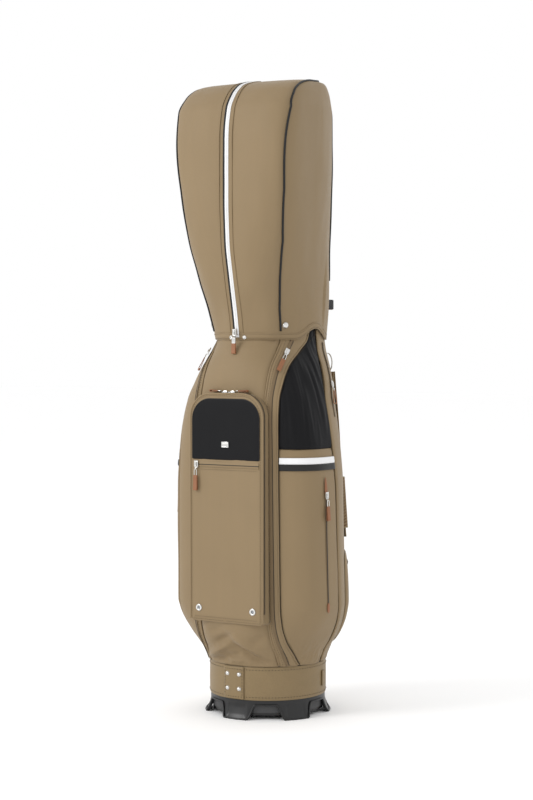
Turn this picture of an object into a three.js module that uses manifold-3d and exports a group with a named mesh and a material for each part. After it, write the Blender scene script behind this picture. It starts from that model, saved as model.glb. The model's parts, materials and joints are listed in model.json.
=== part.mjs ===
// Golf staff bag with its travel hood on. Millimetres, +Z up, feet on z = 0.
// The front, where the ball pocket is, faces -Y. +X is the bag's right as seen from the front.
import * as THREE from 'three';
import { mergeVertices } from 'three/addons/utils/BufferGeometryUtils.js';
import Module from 'manifold-3d';

const wasm = await Module();
wasm.setup();

// ---- Driving dimensions -------------------------------------------------------------------

const clearance = 0.3;          // between pieces that touch

// Stack of heights, from the floor up
const baseHeight = 38;          // moulded base, feet included
const beltHeight = 66;          // leather band round the bottom
const bodyHeight = 637;         // from the belt to the hem of the hood
const hoodHeight = 509;         // from the hem to the top of the hood
const neckOverlap = 34;         // how far the body's fabric runs up inside the hood
const collarHeight = 84;        // top of the moulded collar above the hem

// Base
const baseRadius = 116.5;
const baseFlare = 119;          // radius of the base's lower edge
const baseFloor = 8;            // underside of the floor above the ground
const floorThickness = 5;
const footCount = 6;
const footWidth = 50;
const footDepth = 20;
const footReach = 123;          // outermost radius of a foot
const footHeight = 25;

// Inner tube
const tubeFootRadius = 111.5;
const tubeWall = 2.5;
const tubeTopDrop = 35;         // below the collar's top
const neckSetback = 13;         // the neck's centre lies behind the base's centre

// Belt
const beltWall = 4.7;
const tabAngle = -3;            // degrees, from the front towards the right
const tabHalfAngle = 11.4;
const tabMargin = 1;            // from the tab's ends to the belt's edges
const tabThickness = 2.6;
const rivetRadius = 4.2;
const rivetHeight = 2.6;
const rivetSpacing = 28;
const rivetRise = 28.5;
const rivetSink = 21.5;         // lower edge of the rivets' square above the belt's bottom
const keeperAngle = 100;
const keeperWidth = 12;
const keeperHeight = 30;
const keeperThickness = 3;

// Collar, handle and dividers
const collarHalf = 98;
const collarFront = 108;        // in front of the base's centre
const collarBack = 134;
const collarWall = 9;
const collarSeat = 8;           // collar's thickness outside the tube's top
const collarSleeve = 1.2;       // room between the tube and the collar round it
const dividerFit = 2;           // room at the dividers' ends
const dividerThickness = 2;
const dividerBar = 6;
const dividerBarHeight = 26;
const crossSpacing = 62;        // between the two cross dividers
const stayRadius = 3;
const stayInset = 7.5;
const handleHalfWidth = 62;
const handleReach = 24;
const handleBand = 20;
const handleThickness = 5;
const handleSwingRoom = 8;      // between the brackets and the band's ends
const handleDrop = 12;          // handle's axis below the collar's top
const handleCorner = 18;
const bracketSize = [16, 7, 26];

// Sewn body
const skinThickness = 4;
const seamGap = 0.2;            // degrees between panels that meet along a curved edge
const panelOverhang = 0.5;      // panels' lower edge outside the belt
const hemSpread = 2.5;          // body at the hem outside the collar
const frontHalfWidth = 74;      // front panel
const stripWidth = 24;          // zipped strips at the front corners
const stripSpread = 6;          // how far the strips draw apart from the hem to the belt
const sideRearAngle = 5;       // where the side pocket ends behind the widest line, degrees
const blackPanelDrop = 210;     // lower edge of the black side panels below the hem
const stripeDrop = 226;         // upper edge of the striped band below the hem
const stripeHeight = 25;
const stripeThickness = 1;
const stripeStandoff = 0.9;

// Rear pocket
const rearPocketDepth = 15;
const rearPocketStart = 22;     // degrees behind the widest line
const rearPocketBottom = 38;    // above the belt
const rearPocketTop = 228;
const rearPocketEdge = 3;       // thickness along its seams

// Ball pocket
const pocketHalfWidth = 83;
const pocketBottomRise = 89;    // above the belt
const pocketTopDrop = 104;      // below the hem
const pocketCorner = 46;
const pocketFootCorner = 6;
const pocketFront = 154.5;      // outer face of the flap in front of the base's centre
const pocketWall = 3.5;
const mouthInset = 8;           // of the opening in the front panel, inside the pocket
const flapThickness = 3.5;
const insertDrop = 10;          // black insert's margin inside the flap's top edge
const insertHeight = 118;
const insertSide = 6;
const insertThickness = 0.9;
const badgeSize = [16, 1.2, 11];
const badgeRise = 30;           // badge above the insert's lower edge
const eyeletRadius = 7;
const eyeletHeight = 2;
const eyeletRise = 26;
const eyeletInset = 21;

// Zips
const sliderLength = 14;
const sliderWidth = 9;
const sliderThickness = 4;
const sliderStandoff = 1.2;
const pullLength = 40;
const pullWidth = 9;
const pullThickness = 2.6;
const pullGap = 2;
const barrelSides = 16;           // facets of the round end a pull turns on
const hoodPullLength = 32;
const archPullLength = 26;
const facePullLength = 42;
const rearPullLength = 32;
const hoodSliderRise = 14;      // above the hem
const hoodSliderStandoff = 4;
const faceSliderInset = 16;     // from the flap's side
const faceZipDrop = 10;         // below the black insert
const garmentSliderDrop = 24;   // below the hem, as are the next two
const sideSliderDrop = 300;
const sideZipAngle = 8.5;       // degrees forward of the widest part of the side
const rearSliderDrop = 88;
const rearZipAngle = 17;
const garmentStandoff = 3.6;
const garmentReach = 40;        // the garment pull lies along the slope over this depth
const curveStandoff = 1.5;      // of the sliders on rounded stretches

// Shoulder strap
const strapWidth = 50;
const strapThickness = 9;
const sleeveWall = 2.2;
const sleeveLength = 104;
const ringWire = 2.6;
const strapTopX = 60;
const strapFootX = 88;
const strapStandoff = 4;        // strap's middle behind the collar's back
const strapTopDrop = 66;        // below the hem
const strapFootRise = 8;        // above the rear pocket
const sleeveRise = 18;          // above the strap's foot

// Hood
const hoodWall = 2.5;
const hoodFit = 0.5;            // between the hem and the body
const crownDepth = 40;          // the crown's wall is measured downwards within this depth
const hemArch = 22;             // how far the hem rises at the sides
const slotHalfWidth = 76;       // slot for the carry handle, open at the hem
const slotTop = 106;            // above the hem
const snapRadius = 6;
const snapHeight = 2.6;
const snapRise = 28;            // above the hem
const snapAngle = 38;           // in front of the widest line, degrees

// ---- Heights worked out from the stack ----------------------------------------------------

const beltBottom = baseHeight;
const beltTop = beltBottom + beltHeight;
const hem = beltTop + bodyHeight;
const bodyTop = hem + neckOverlap;
const collarTop = hem + collarHeight;
const tubeEnd = collarTop - tubeTopDrop;
const tubeBottom = baseFloor + floorThickness + clearance;

// ---- Outlines -----------------------------------------------------------------------------

// A level is one height of an outline: half its width, the centre of its widest line, its front
// and back, both measured from the base's centre, and its squareness, where 2 is an ellipse.
const collarEdge = { half: collarHalf, front: collarFront, back: collarBack, square: 2 };
const beltRadius = tubeFootRadius + clearance + beltWall;

function grown(level, amount) {
  const { half, front, back } = level;
  return { ...level, half: half + amount, front: front + amount, back: back + amount };
}

const tubeTop = grown(collarEdge, -collarSeat);
const bodyHemEdge = grown(collarEdge, hemSpread);
const hoodHemEdge = grown(bodyHemEdge, hoodFit + hoodWall);

// How far the sewn body swells at each height outside a straight cone from the belt to the
// hem: to the sides, to the front and to the back. The lower rows are measured up from the
// belt, the upper ones down from the hem.
const bodySwell = [
  { z: beltTop + 25, side: 11, front: 5, back: 4, centre: -4, square: 2.1 },
  { z: beltTop + 57, side: 33, front: 12, back: 8, centre: -8, square: 2.4 },
  { z: beltTop + 89, side: 48.5, front: 15, back: 9, centre: -14, square: 2.8 },
  { z: beltTop + 121, side: 57, front: 16, back: 8, centre: -22, square: 3 },
  { z: hem - 292, side: 61, front: 20, back: -1, centre: -31, square: 3 },
  { z: hem - 228, side: 57, front: 21, back: -3, centre: -32, square: 3 },
  { z: hem - 164, side: 48, front: 24, back: -3, centre: -30, square: 3 },
  { z: hem - 116, side: 38.5, front: 26, back: -3, centre: -26, square: 2.8 },
  { z: hem - 84, side: 31, front: 25.5, back: -2, centre: -15, square: 2.4 },
  { z: hem - 52, side: 20, front: 20, back: -1, centre: -5, square: 2.2 },
  { z: hem - 20, side: 5, front: 9, back: 1, centre: 6, square: 2 },
];

// The same for the hood, outside its hem's own outline. The rows are measured up from the hem,
// the last ones down from the top. The front line is straight as far as the second row, where
// the zip's slider runs.
const hoodEnd = hem + hoodHeight;
const hoodSwell = [
  { z: hem + 60, side: 7.5, front: 12, back: 1, centre: 4, square: 2.2 },
  { z: hem + 124, side: 13.5, front: 24.5, back: 2, centre: -9, square: 2.8 },
  { z: hem + 188, side: 18.5, front: 35, back: 2, centre: -26, square: 3.6 },
  { z: hoodEnd - 225, side: 28.5, front: 41, back: 1, centre: -42, square: 4.5 },
  { z: hoodEnd - 129, side: 33.5, front: 41, back: -1, centre: -45, square: 6 },
  { z: hoodEnd - 65, side: 33.5, front: 32, back: -7, centre: -38, square: 6 },
  { z: hoodEnd - 33, side: 30.5, front: 13, back: -22, centre: -28, square: 5 },
  { z: hoodEnd - 17, side: 26.5, front: -8, back: -38, centre: -18, square: 4.5 },
  { z: hoodEnd - 8, side: 21.5, front: -34, back: -54, centre: -10, square: 4 },
  { z: hoodEnd, side: -7.5, front: -84, back: -88, centre: 4, square: 3 },
];

function swollen(row, low, high, share) {
  const cone = (key) => low[key] + (high[key] - low[key]) * share;
  const { z, side, front, back, centre, square } = row;
  return { z, half: cone('half') + side, centre, front: cone('front') + front,
    back: cone('back') + back, square };
}

const footSize = beltRadius + panelOverhang;
const bodyFootEdge = { half: footSize, front: footSize, back: footSize, square: 2 };
const bodyRows = [
  { ...bodyFootEdge, z: beltTop + clearance, centre: 0 },
  ...bodySwell.map((row) => (
    swollen(row, bodyFootEdge, bodyHemEdge, (row.z - beltTop) / bodyHeight))),
  { ...bodyHemEdge, z: hem, centre: neckSetback },
  { ...collarEdge, z: bodyTop, centre: neckSetback },
];
const hoodRows = [
  { ...hoodHemEdge, z: hem, centre: neckSetback },
  ...hoodSwell.map((row) => swollen(row, hoodHemEdge, hoodHemEdge, 0)),
];

// ---- Materials ----------------------------------------------------------------------------

function finish(color, roughness, metalness = 0) {
  return () => new THREE.MeshStandardMaterial({ color, roughness, metalness });
}

const tanTwill = finish('#a18a6a', 0.72);
const blackTwill = finish('#2c2d30', 0.7);
const saddleLeather = finish('#a06f48', 0.55);
const tanLeather = finish('#97805f', 0.55);
const blackPlastic = finish('#2b2b2c', 0.5);
const whiteTape = finish('#e6e6e4', 0.6);
const nickel = finish('#c9c9c6', 0.25, 1);
const springSteel = finish('#8d9094', 0.35, 1);

// ---- Shape helpers ------------------------------------------------------------------------

const group = new THREE.Group();

function add(name, geometry, material, parent = group) {
  const mesh = new THREE.Mesh(geometry, material());
  mesh.name = name;
  parent.add(mesh);
  return mesh;
}

function toSolid(geometry) {
  const bare = geometry.clone();
  bare.deleteAttribute('normal');
  bare.deleteAttribute('uv');
  const merged = mergeVertices(bare, 1e-4);
  return new wasm.Manifold(new wasm.Mesh({
    numProp: 3,
    vertProperties: new Float32Array(merged.attributes.position.array),
    triVerts: new Uint32Array(merged.index.array),
  }));
}

function toGeometry(solid) {
  const mesh = solid.getMesh();
  const geometry = new THREE.BufferGeometry();
  geometry.setAttribute('position', new THREE.BufferAttribute(mesh.vertProperties, 3));
  geometry.setIndex(new THREE.BufferAttribute(mesh.triVerts, 1));
  geometry.computeVertexNormals();
  return geometry;
}

// A closed mesh from a list of corner points and faces of three or four corners.
function meshFrom(points, faces) {
  const geometry = new THREE.BufferGeometry();
  geometry.setAttribute('position', new THREE.Float32BufferAttribute(points.flat(), 3));
  const index = [];
  for (const face of faces) {
    for (let i = 2; i < face.length; i += 1) {
      index.push(face[0], face[i - 1], face[i]);
    }
  }
  geometry.setIndex(index);
  geometry.computeVertexNormals();
  return geometry;
}

// The level of an outline at any height, between its rows.
function levelAt(rows, z) {
  const last = rows.length - 2;
  const below = rows.findIndex((row, i) => i === last || rows[i + 1].z >= z);
  const low = rows[below];
  const high = rows[below + 1];
  const share = THREE.MathUtils.clamp((z - low.z) / (high.z - low.z), 0, 1);
  const mix = (key) => THREE.MathUtils.lerp(low[key], high[key], share);
  return {
    z,
    half: mix('half'),
    centre: mix('centre'),
    front: mix('front'),
    back: mix('back'),
    square: mix('square'),
  };
}

// A point of a level. The angle is 0 at the widest line on +X, -90 at the front and 90 at the
// back; grow moves it out, or in when negative.
function pointAt(level, degrees, grow = 0) {
  const angle = THREE.MathUtils.degToRad(degrees);
  const c = Math.cos(angle);
  const s = Math.sin(angle);
  const power = 2 / (s < 0 ? level.square : 2);
  const depth = s < 0 ? level.front + level.centre : level.back - level.centre;
  const x = Math.sign(c) * (level.half + grow) * Math.abs(c) ** power;
  const y = level.centre + Math.sign(s) * (depth + grow) * Math.abs(s) ** power;
  return [x, y, level.z];
}

// The angle at which the front of a level passes a given distance from the middle plane.
function angleAtX(level, x, grow = 0) {
  const share = Math.min(Math.abs(x) / (level.half + grow), 1);
  const angle = THREE.MathUtils.radToDeg(Math.acos(share ** (level.square / 2)));
  return x < 0 ? angle - 180 : -angle;
}

// Heights of an outline's rows between two levels, ends included.
function heightsBetween(rows, bottom, top) {
  const inside = rows.map((row) => row.z).filter((z) => z > bottom + 1 && z < top - 1);
  return [bottom, ...inside, top];
}

// A sewn panel: part of an outline between two edges, as a closed sheet of its own thickness.
// edgeA and edgeB give the angle of each edge for a level and its growth, and swell adds to the
// outer face's growth by the share of the way across and up.
function panel(rows, edgeA, edgeB, bottom, top, steps, grow = 0, thickness = skinThickness,
  swell = () => 0) {
  const points = [];
  const heights = heightsBetween(rows, bottom, top);
  for (const side of [grow, grow - thickness]) {
    for (const z of heights) {
      const level = levelAt(rows, z);
      const from = edgeA(level, side);
      const to = edgeB(level, side);
      for (let i = 0; i <= steps; i += 1) {
        const extra = side === grow ? swell(i / steps, (z - bottom) / (top - bottom)) : 0;
        points.push(pointAt(level, from + (to - from) * i / steps, side + extra));
      }
    }
  }
  const row = steps + 1;
  const inner = heights.length * row;
  const faces = [];
  for (let j = 0; j + 1 < heights.length; j += 1) {
    for (let i = 0; i < steps; i += 1) {
      const a = j * row + i;
      faces.push([a, a + 1, a + row + 1, a + row]);
      faces.push([inner + a, inner + a + row, inner + a + row + 1, inner + a + 1]);
    }
    const first = j * row;
    const end = first + steps;
    faces.push([first, first + row, inner + first + row, inner + first]);
    faces.push([end, inner + end, inner + end + row, end + row]);
  }
  const topRow = inner - row;
  for (let i = 0; i < steps; i += 1) {
    faces.push([i, inner + i, inner + i + 1, i + 1]);
    const t = topRow + i;
    faces.push([t, t + 1, inner + t + 1, inner + t]);
  }
  return meshFrom(points, faces);
}

// Rings joined into a closed body. Each ring is a loop of points, all of the same count.
function ringBody(rings, closed) {
  const count = rings[0].length;
  const faces = [];
  const total = rings.length;
  for (let j = 0; j < (closed ? total : total - 1); j += 1) {
    const next = (j + 1) % total;
    for (let i = 0; i < count; i += 1) {
      const k = (i + 1) % count;
      faces.push([j * count + i, j * count + k, next * count + k, next * count + i]);
    }
  }
  if (!closed) {
    faces.push([...Array(count).keys()].reverse());
    faces.push([...Array(count).keys()].map((i) => (total - 1) * count + i));
  }
  return meshFrom(rings.flat(), faces);
}

function outlineRing(level, steps, grow = 0) {
  return [...Array(steps).keys()].map((i) => pointAt(level, i * 360 / steps - 90, grow));
}

// An oval ring about the neck's centre, and a circle about the base's.
function ovalRing(edge, grow, z, steps) {
  return outlineRing({ ...edge, z, centre: neckSetback }, steps, grow);
}

function circleRing(radius, z, steps) {
  return outlineRing({ z, half: radius, centre: 0, front: radius, back: radius, square: 2 },
    steps);
}

// A plate drawn from the front and running back from its outer face.
function frontPlate(shape, outerFace, thickness, curveSegments = 6) {
  const geometry = new THREE.ExtrudeGeometry(shape, {
    depth: thickness,
    bevelEnabled: false,
    curveSegments,
  });
  geometry.rotateX(Math.PI / 2);
  geometry.translate(0, thickness - outerFace, 0);
  return geometry;
}

function boxGeometry(size, centre) {
  const geometry = new THREE.BoxGeometry(...size);
  geometry.translate(...centre);
  return geometry;
}

function archShape(half, bottom, top, topCorner, footCorner) {
  const shape = new THREE.Shape();
  shape.moveTo(-half + footCorner, bottom);
  shape.lineTo(half - footCorner, bottom);
  shape.absarc(half - footCorner, bottom + footCorner, footCorner, -Math.PI / 2, 0);
  shape.lineTo(half, top - topCorner);
  shape.absarc(half - topCorner, top - topCorner, topCorner, 0, Math.PI / 2);
  shape.lineTo(-half + topCorner, top);
  shape.absarc(-half + topCorner, top - topCorner, topCorner, Math.PI / 2, Math.PI);
  shape.lineTo(-half, bottom + footCorner);
  shape.absarc(-half + footCorner, bottom + footCorner, footCorner, Math.PI, Math.PI * 1.5);
  return shape;
}

// A group whose -Y looks outwards and whose +Z runs up the surface at a point.
function surfaceFrame(point, outward, upward) {
  const out = new THREE.Vector3(...outward).normalize();
  const up = new THREE.Vector3(...upward).normalize();
  const back = out.clone().negate();
  const across = new THREE.Vector3().crossVectors(back, up).normalize();
  back.crossVectors(up, across);
  const frame = new THREE.Group();
  frame.quaternion.setFromRotationMatrix(new THREE.Matrix4().makeBasis(across, back, up));
  frame.position.set(...point);
  group.add(frame);
  return frame;
}

// The same, on an outline at a height, along a line whose angle at each level is given by
// angleOf. Its slope runs from there down to the given depth.
function outlineFrame(rows, z, angleOf, grow, below = 12) {
  const spot = (height, turn = 0) => {
    const level = levelAt(rows, height);
    return new THREE.Vector3(...pointAt(level, angleOf(level) + turn, grow));
  };
  const up = spot(z).sub(spot(z - below));
  const out = spot(z, 2).sub(spot(z, -2)).cross(up);
  return surfaceFrame(spot(z).toArray(), out.toArray(), up.toArray());
}

// ---- Base and belt ------------------------------------------------------------------------

function makeBase() {
  const steps = 48;
  const floorTop = baseFloor + floorThickness;
  const innerRadius = tubeFootRadius + clearance;
  const profile = [
    [0, baseFloor], [baseFlare, baseFloor], [baseRadius, baseHeight - clearance],
    [innerRadius, baseHeight - clearance], [innerRadius, floorTop], [0, floorTop],
  ].map(([r, z]) => new THREE.Vector2(r, z));
  const cup = new THREE.LatheGeometry(profile, steps);
  cup.rotateX(Math.PI / 2);
  let solid = toSolid(cup);
  for (let i = 0; i < footCount; i += 1) {
    const foot = new THREE.CylinderGeometry(footWidth / 2 - 3, footWidth / 2, footHeight, 4, 1);
    foot.rotateY(Math.PI / 4);
    foot.rotateX(Math.PI / 2);
    foot.scale(Math.SQRT2, Math.SQRT2 * footDepth / footWidth, 1);
    foot.translate(0, footDepth / 2 - footReach, footHeight / 2);
    foot.rotateZ(i * 2 * Math.PI / footCount);
    solid = solid.add(toSolid(foot));
  }
  const bore = new THREE.CylinderGeometry(innerRadius, innerRadius, baseHeight, steps);
  bore.rotateX(Math.PI / 2);
  bore.translate(0, 0, floorTop + baseHeight / 2);
  add('base_moulding', toGeometry(solid.subtract(toSolid(bore))), blackPlastic);
}

// A curved patch standing on the belt, centred on an angle from the front.
function beltPatch(angle, halfAngle, inner, thickness, bottom, top, steps) {
  const level = (z) => ({ z, half: inner + thickness, centre: 0, front: inner + thickness,
    back: inner + thickness, square: 2 });
  const rows = [level(bottom), level(top)];
  return panel(rows, () => angle - halfAngle - 90, () => angle + halfAngle - 90, bottom, top,
    steps, 0, thickness);
}

function makeBelt() {
  const beltEnd = beltTop - clearance;
  add('belt_band', ringBody([
    circleRing(beltRadius - beltWall, beltBottom, 48),
    circleRing(beltRadius, beltBottom, 48),
    circleRing(beltRadius, beltEnd, 48),
    circleRing(beltRadius - beltWall, beltEnd, 48),
  ], true), tanLeather);
  const tabInner = beltRadius + clearance;
  add('belt_overlap_tab', beltPatch(tabAngle, tabHalfAngle, tabInner, tabThickness,
    beltBottom + tabMargin, beltTop - tabMargin, 6), tanLeather);
  const rivetFace = tabInner + tabThickness + clearance;
  for (let i = 0; i < 4; i += 1) {
    const column = i % 2 - 0.5;
    const z = beltBottom + rivetSink + Math.floor(i / 2) * rivetRise;
    const turn = THREE.MathUtils.degToRad(tabAngle) + column * rivetSpacing / rivetFace;
    const dome = new THREE.LatheGeometry([
      [0, 0], [rivetRadius, 0], [rivetRadius, rivetHeight * 0.35],
      [rivetRadius * 0.65, rivetHeight * 0.85], [0, rivetHeight],
    ].map(([r, y]) => new THREE.Vector2(r, y)), 12);
    const rivet = add(`belt_rivet_${i + 1}`, dome, nickel);
    rivet.rotation.set(Math.PI, 0, turn, 'ZYX');
    rivet.position.set(Math.sin(turn) * rivetFace, -Math.cos(turn) * rivetFace, z);
  }
  const halfTurn = THREE.MathUtils.radToDeg(keeperWidth / 2 / beltRadius);
  const keeperMiddle = (beltBottom + beltTop) / 2;
  add('belt_keeper', beltPatch(keeperAngle, halfTurn, tabInner, keeperThickness,
    keeperMiddle - keeperHeight / 2, keeperMiddle + keeperHeight / 2, 2), tanLeather);
}

// ---- Tube, collar, dividers, handle -------------------------------------------------------

function makeFrame() {
  const steps = 40;
  add('main_tube', ringBody([
    circleRing(tubeFootRadius - tubeWall, tubeBottom, steps),
    circleRing(tubeFootRadius, tubeBottom, steps),
    circleRing(tubeFootRadius, beltTop, steps),
    ovalRing(tubeTop, 0, tubeEnd, steps),
    ovalRing(tubeTop, -tubeWall, tubeEnd, steps),
    circleRing(tubeFootRadius - tubeWall, beltTop, steps),
  ], true), blackPlastic);

  const lip = tubeEnd + clearance;
  add('top_collar', ringBody([
    ovalRing(tubeTop, collarSleeve, bodyTop + 1, steps),
    ovalRing(collarEdge, 0, bodyTop + 1, steps),
    ovalRing(collarEdge, 0, collarTop, steps),
    ovalRing(collarEdge, -collarWall, collarTop, steps),
    ovalRing(collarEdge, -collarWall, lip, steps),
    ovalRing(tubeTop, collarSleeve, lip, steps),
  ], true), blackPlastic);

  // The bars and the sheets cross like a hash with one upright: one long, two across it.
  const mouthHalf = collarHalf - collarWall;
  const mouthDepth = (collarFront + collarBack) / 2 - collarWall;
  const acrossAt = (y) => 2 * mouthHalf * Math.sqrt(1 - (y / mouthDepth) ** 2);
  const grid = (thickness, length, crossLength, bottom, top) => {
    const height = top - bottom;
    const z = (bottom + top) / 2;
    let solid = toSolid(boxGeometry([thickness, length, height], [0, neckSetback, z]));
    for (const side of [-1, 1]) {
      const y = neckSetback + side * crossSpacing / 2;
      solid = solid.add(toSolid(boxGeometry([crossLength, thickness, height], [0, y, z])));
    }
    return toGeometry(solid);
  };
  const barBottom = collarTop - dividerBarHeight;
  const barLength = 2 * mouthDepth - dividerFit;
  const crossLength = acrossAt((crossSpacing + dividerBar) / 2) - dividerFit;
  add('divider_top', grid(dividerBar, barLength, crossLength, barBottom, collarTop), blackPlastic);
  const footLength = 2 * (tubeFootRadius - tubeWall - neckSetback - dividerFit);
  add('divider_sheets', grid(dividerThickness, Math.min(barLength, footLength),
    crossLength - 2 * stayInset, tubeBottom + dividerFit, barBottom - clearance), blackTwill);

  const stayTop = tubeEnd - 4;
  for (const [side, sign] of [['left', -1], ['right', 1]]) {
    const stay = new THREE.CylinderGeometry(stayRadius, stayRadius, stayTop - tubeBottom, 10);
    stay.rotateX(Math.PI / 2);
    const rod = add(`stay_rod_${side}`, stay, springSteel);
    const x = sign * (tubeTop.half - tubeWall - stayInset + stayRadius);
    rod.position.set(x, neckSetback, (stayTop + tubeBottom) / 2);
  }
}

// The carry handle: two brackets on the back of the collar and a band between them.
function makeHandle() {
  const z = collarTop - handleDrop;
  const depthOf = (x) => {
    const depth = collarBack - neckSetback;
    return neckSetback + depth * Math.sqrt(1 - (x / collarHalf) ** 2);
  };
  const [width, depth, height] = bracketSize;
  const slope = (depthOf(handleHalfWidth + 1) - depthOf(handleHalfWidth - 1)) / 2;
  const turn = Math.atan(slope);
  const offset = depth / 2 + 2 * clearance;
  for (const [side, sign] of [['left', -1], ['right', 1]]) {
    const bracket = add(`handle_bracket_${side}`, new THREE.BoxGeometry(width, depth, height),
      blackPlastic);
    bracket.position.set(sign * (handleHalfWidth - Math.sin(turn) * offset),
      depthOf(handleHalfWidth) + Math.cos(turn) * offset, z);
    bracket.rotation.z = sign * turn;
  }
  const start = depthOf(handleHalfWidth) + depth + handleSwingRoom;
  const end = collarBack + handleReach;
  const x = handleHalfWidth + (width - handleThickness) / 4;
  const bend = x - handleCorner;
  const turnStart = end - handleCorner;
  const route = new THREE.CurvePath();
  const at = (px, py) => new THREE.Vector3(px, py, 0);
  route.add(new THREE.LineCurve3(at(-x, start), at(-x, turnStart)));
  route.add(new THREE.QuadraticBezierCurve3(at(-x, turnStart), at(-x, end), at(-bend, end)));
  route.add(new THREE.LineCurve3(at(-bend, end), at(bend, end)));
  route.add(new THREE.QuadraticBezierCurve3(at(bend, end), at(x, end), at(x, turnStart)));
  route.add(new THREE.LineCurve3(at(x, turnStart), at(x, start)));
  const steps = 22;
  const rings = [];
  for (let i = 0; i <= steps; i += 1) {
    const middle = route.getPointAt(i / steps);
    const along = route.getTangentAt(i / steps);
    const out = new THREE.Vector3(along.y, -along.x, 0).multiplyScalar(-handleThickness / 2);
    const rise = handleBand / 2;
    rings.push([[-1, 1], [-1, -1], [1, -1], [1, 1]].map(([o, u]) => (
      [middle.x + out.x * o, middle.y + out.y * o, u * rise])));
  }
  const handle = add('carry_handle', ringBody(rings, false), blackTwill);
  handle.position.z = z;
}

// ---- Sewn body ----------------------------------------------------------------------------

const stripOuter = frontHalfWidth + stripWidth;
const mirrorEdge = (edge) => (level, grow) => -180 - edge(level, grow);
const atX = (x) => (level, grow) => {
  const spread = Math.sign(x) * stripSpread * (hem - level.z) / bodyHeight;
  return angleAtX(level, x + spread, grow);
};
const atAngle = (degrees) => () => degrees;

function makePair(name, edgeA, edgeB, bottom, top, steps, material, grow, thickness) {
  const build = (a, b) => panel(bodyRows, a, b, bottom, top, steps, grow, thickness);
  add(`${name}_right`, build(edgeA, edgeB), material);
  add(`${name}_left`, build(mirrorEdge(edgeB), mirrorEdge(edgeA)), material);
}

const pocketBottom = beltTop + pocketBottomRise;
const pocketTop = hem - pocketTopDrop;
const insertTop = pocketTop - insertDrop;
const insertBottom = insertTop - insertHeight;

function makePanels() {
  const bottom = bodyRows[0].z;
  const seam = hem - blackPanelDrop;
  // The front panel is open behind the ball pocket, so the balls lie against the tube.
  const front = toSolid(panel(bodyRows, atX(-frontHalfWidth), atX(frontHalfWidth), bottom,
    bodyTop, 8));
  const mouthHalf = Math.min(frontHalfWidth, pocketHalfWidth) - mouthInset;
  const mouthBottom = pocketBottom + mouthInset;
  const mouthTop = pocketTop - pocketCorner;
  const mouth = toSolid(boxGeometry([2 * mouthHalf, pocketFront, mouthTop - mouthBottom],
    [0, -pocketFront / 2, (mouthTop + mouthBottom) / 2]));
  add('front_panel', toGeometry(front.subtract(mouth)), tanTwill);
  makePair('corner_strip', atX(frontHalfWidth + clearance), atX(stripOuter), bottom, bodyTop, 2,
    tanTwill);
  const sideFront = atX(stripOuter + clearance);
  const sideRear = atAngle(sideRearAngle);
  makePair('side_pocket', sideFront, sideRear, bottom, seam, 8, tanTwill);
  makePair('side_upper', sideFront, sideRear, seam + clearance, bodyTop, 8, blackTwill);
  const stripeFront = atX(Math.max(stripOuter, pocketHalfWidth) + clearance);
  makePair('stripe_band', stripeFront, sideRear, hem - stripeDrop - stripeHeight,
    hem - stripeDrop, 8, whiteTape, stripeStandoff + stripeThickness, stripeThickness);
  add('rear_panel', panel(bodyRows, atAngle(sideRearAngle + seamGap),
    atAngle(180 - sideRearAngle - seamGap), bottom, bodyTop, 18), tanTwill);
  const standoff = 3 * clearance;
  const swell = (across, up) => (rearPocketDepth - rearPocketEdge)
    * Math.sin(Math.PI * across) ** 0.5 * (up < 0.1 ? 0 : 1);
  add('rear_pocket', panel(bodyRows, atAngle(rearPocketStart), atAngle(180 - rearPocketStart),
    beltTop + rearPocketBottom, beltTop + rearPocketTop, 14, rearPocketEdge,
    rearPocketEdge - standoff, swell), tanTwill);
}

// ---- Ball pocket --------------------------------------------------------------------------

function makePocket() {
  const rimFace = pocketFront - flapThickness - clearance;
  const outline = archShape(pocketHalfWidth, pocketBottom, pocketTop, pocketCorner,
    pocketFootCorner);
  const hollow = archShape(pocketHalfWidth - pocketWall, pocketBottom + pocketWall,
    pocketTop - pocketWall, pocketCorner - pocketWall, pocketFootCorner - pocketWall);
  outline.holes.push(new THREE.Path(hollow.getPoints(6).reverse()));
  const gusset = toSolid(frontPlate(outline, rimFace, rimFace));
  const levels = bodyRows.filter((row) => row.z <= hem);
  const core = ringBody(levels.map((row) => outlineRing(row, 72, 2 * clearance)), false);
  const pieces = gusset.subtract(toSolid(core)).decompose();
  pieces.sort((a, b) => b.volume() - a.volume());
  add('ball_pocket_gusset', toGeometry(pieces[0]), tanTwill);

  const face = archShape(pocketHalfWidth, pocketBottom, pocketTop, pocketCorner,
    pocketFootCorner);
  add('ball_pocket_flap', frontPlate(face, pocketFront, flapThickness), tanTwill);

  const insertFace = pocketFront + clearance + insertThickness;
  const insert = archShape(pocketHalfWidth - insertSide, insertBottom, insertTop,
    pocketCorner - insertSide, 1);
  add('flap_black_insert', frontPlate(insert, insertFace, insertThickness), blackTwill);

  const [, badgeDepth] = badgeSize;
  const badge = add('badge_plate', new THREE.BoxGeometry(...badgeSize), nickel);
  badge.position.set(0, -insertFace - clearance - badgeDepth / 2, insertBottom + badgeRise);

  for (const [side, sign] of [['left', -1], ['right', 1]]) {
    const ring = new THREE.LatheGeometry([
      [eyeletRadius * 0.45, 0], [eyeletRadius, 0], [eyeletRadius * 0.8, eyeletHeight],
      [eyeletRadius * 0.45, eyeletHeight], [eyeletRadius * 0.45, 0],
    ].map(([r, y]) => new THREE.Vector2(r, y)), 12);
    const eyelet = add(`flap_eyelet_${side}`, ring, nickel);
    eyelet.rotation.x = Math.PI;
    eyelet.position.set(sign * (pocketHalfWidth - eyeletInset), -pocketFront - clearance,
      pocketBottom + eyeletRise);
  }
}

// ---- Zip sliders and pulls ----------------------------------------------------------------

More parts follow.
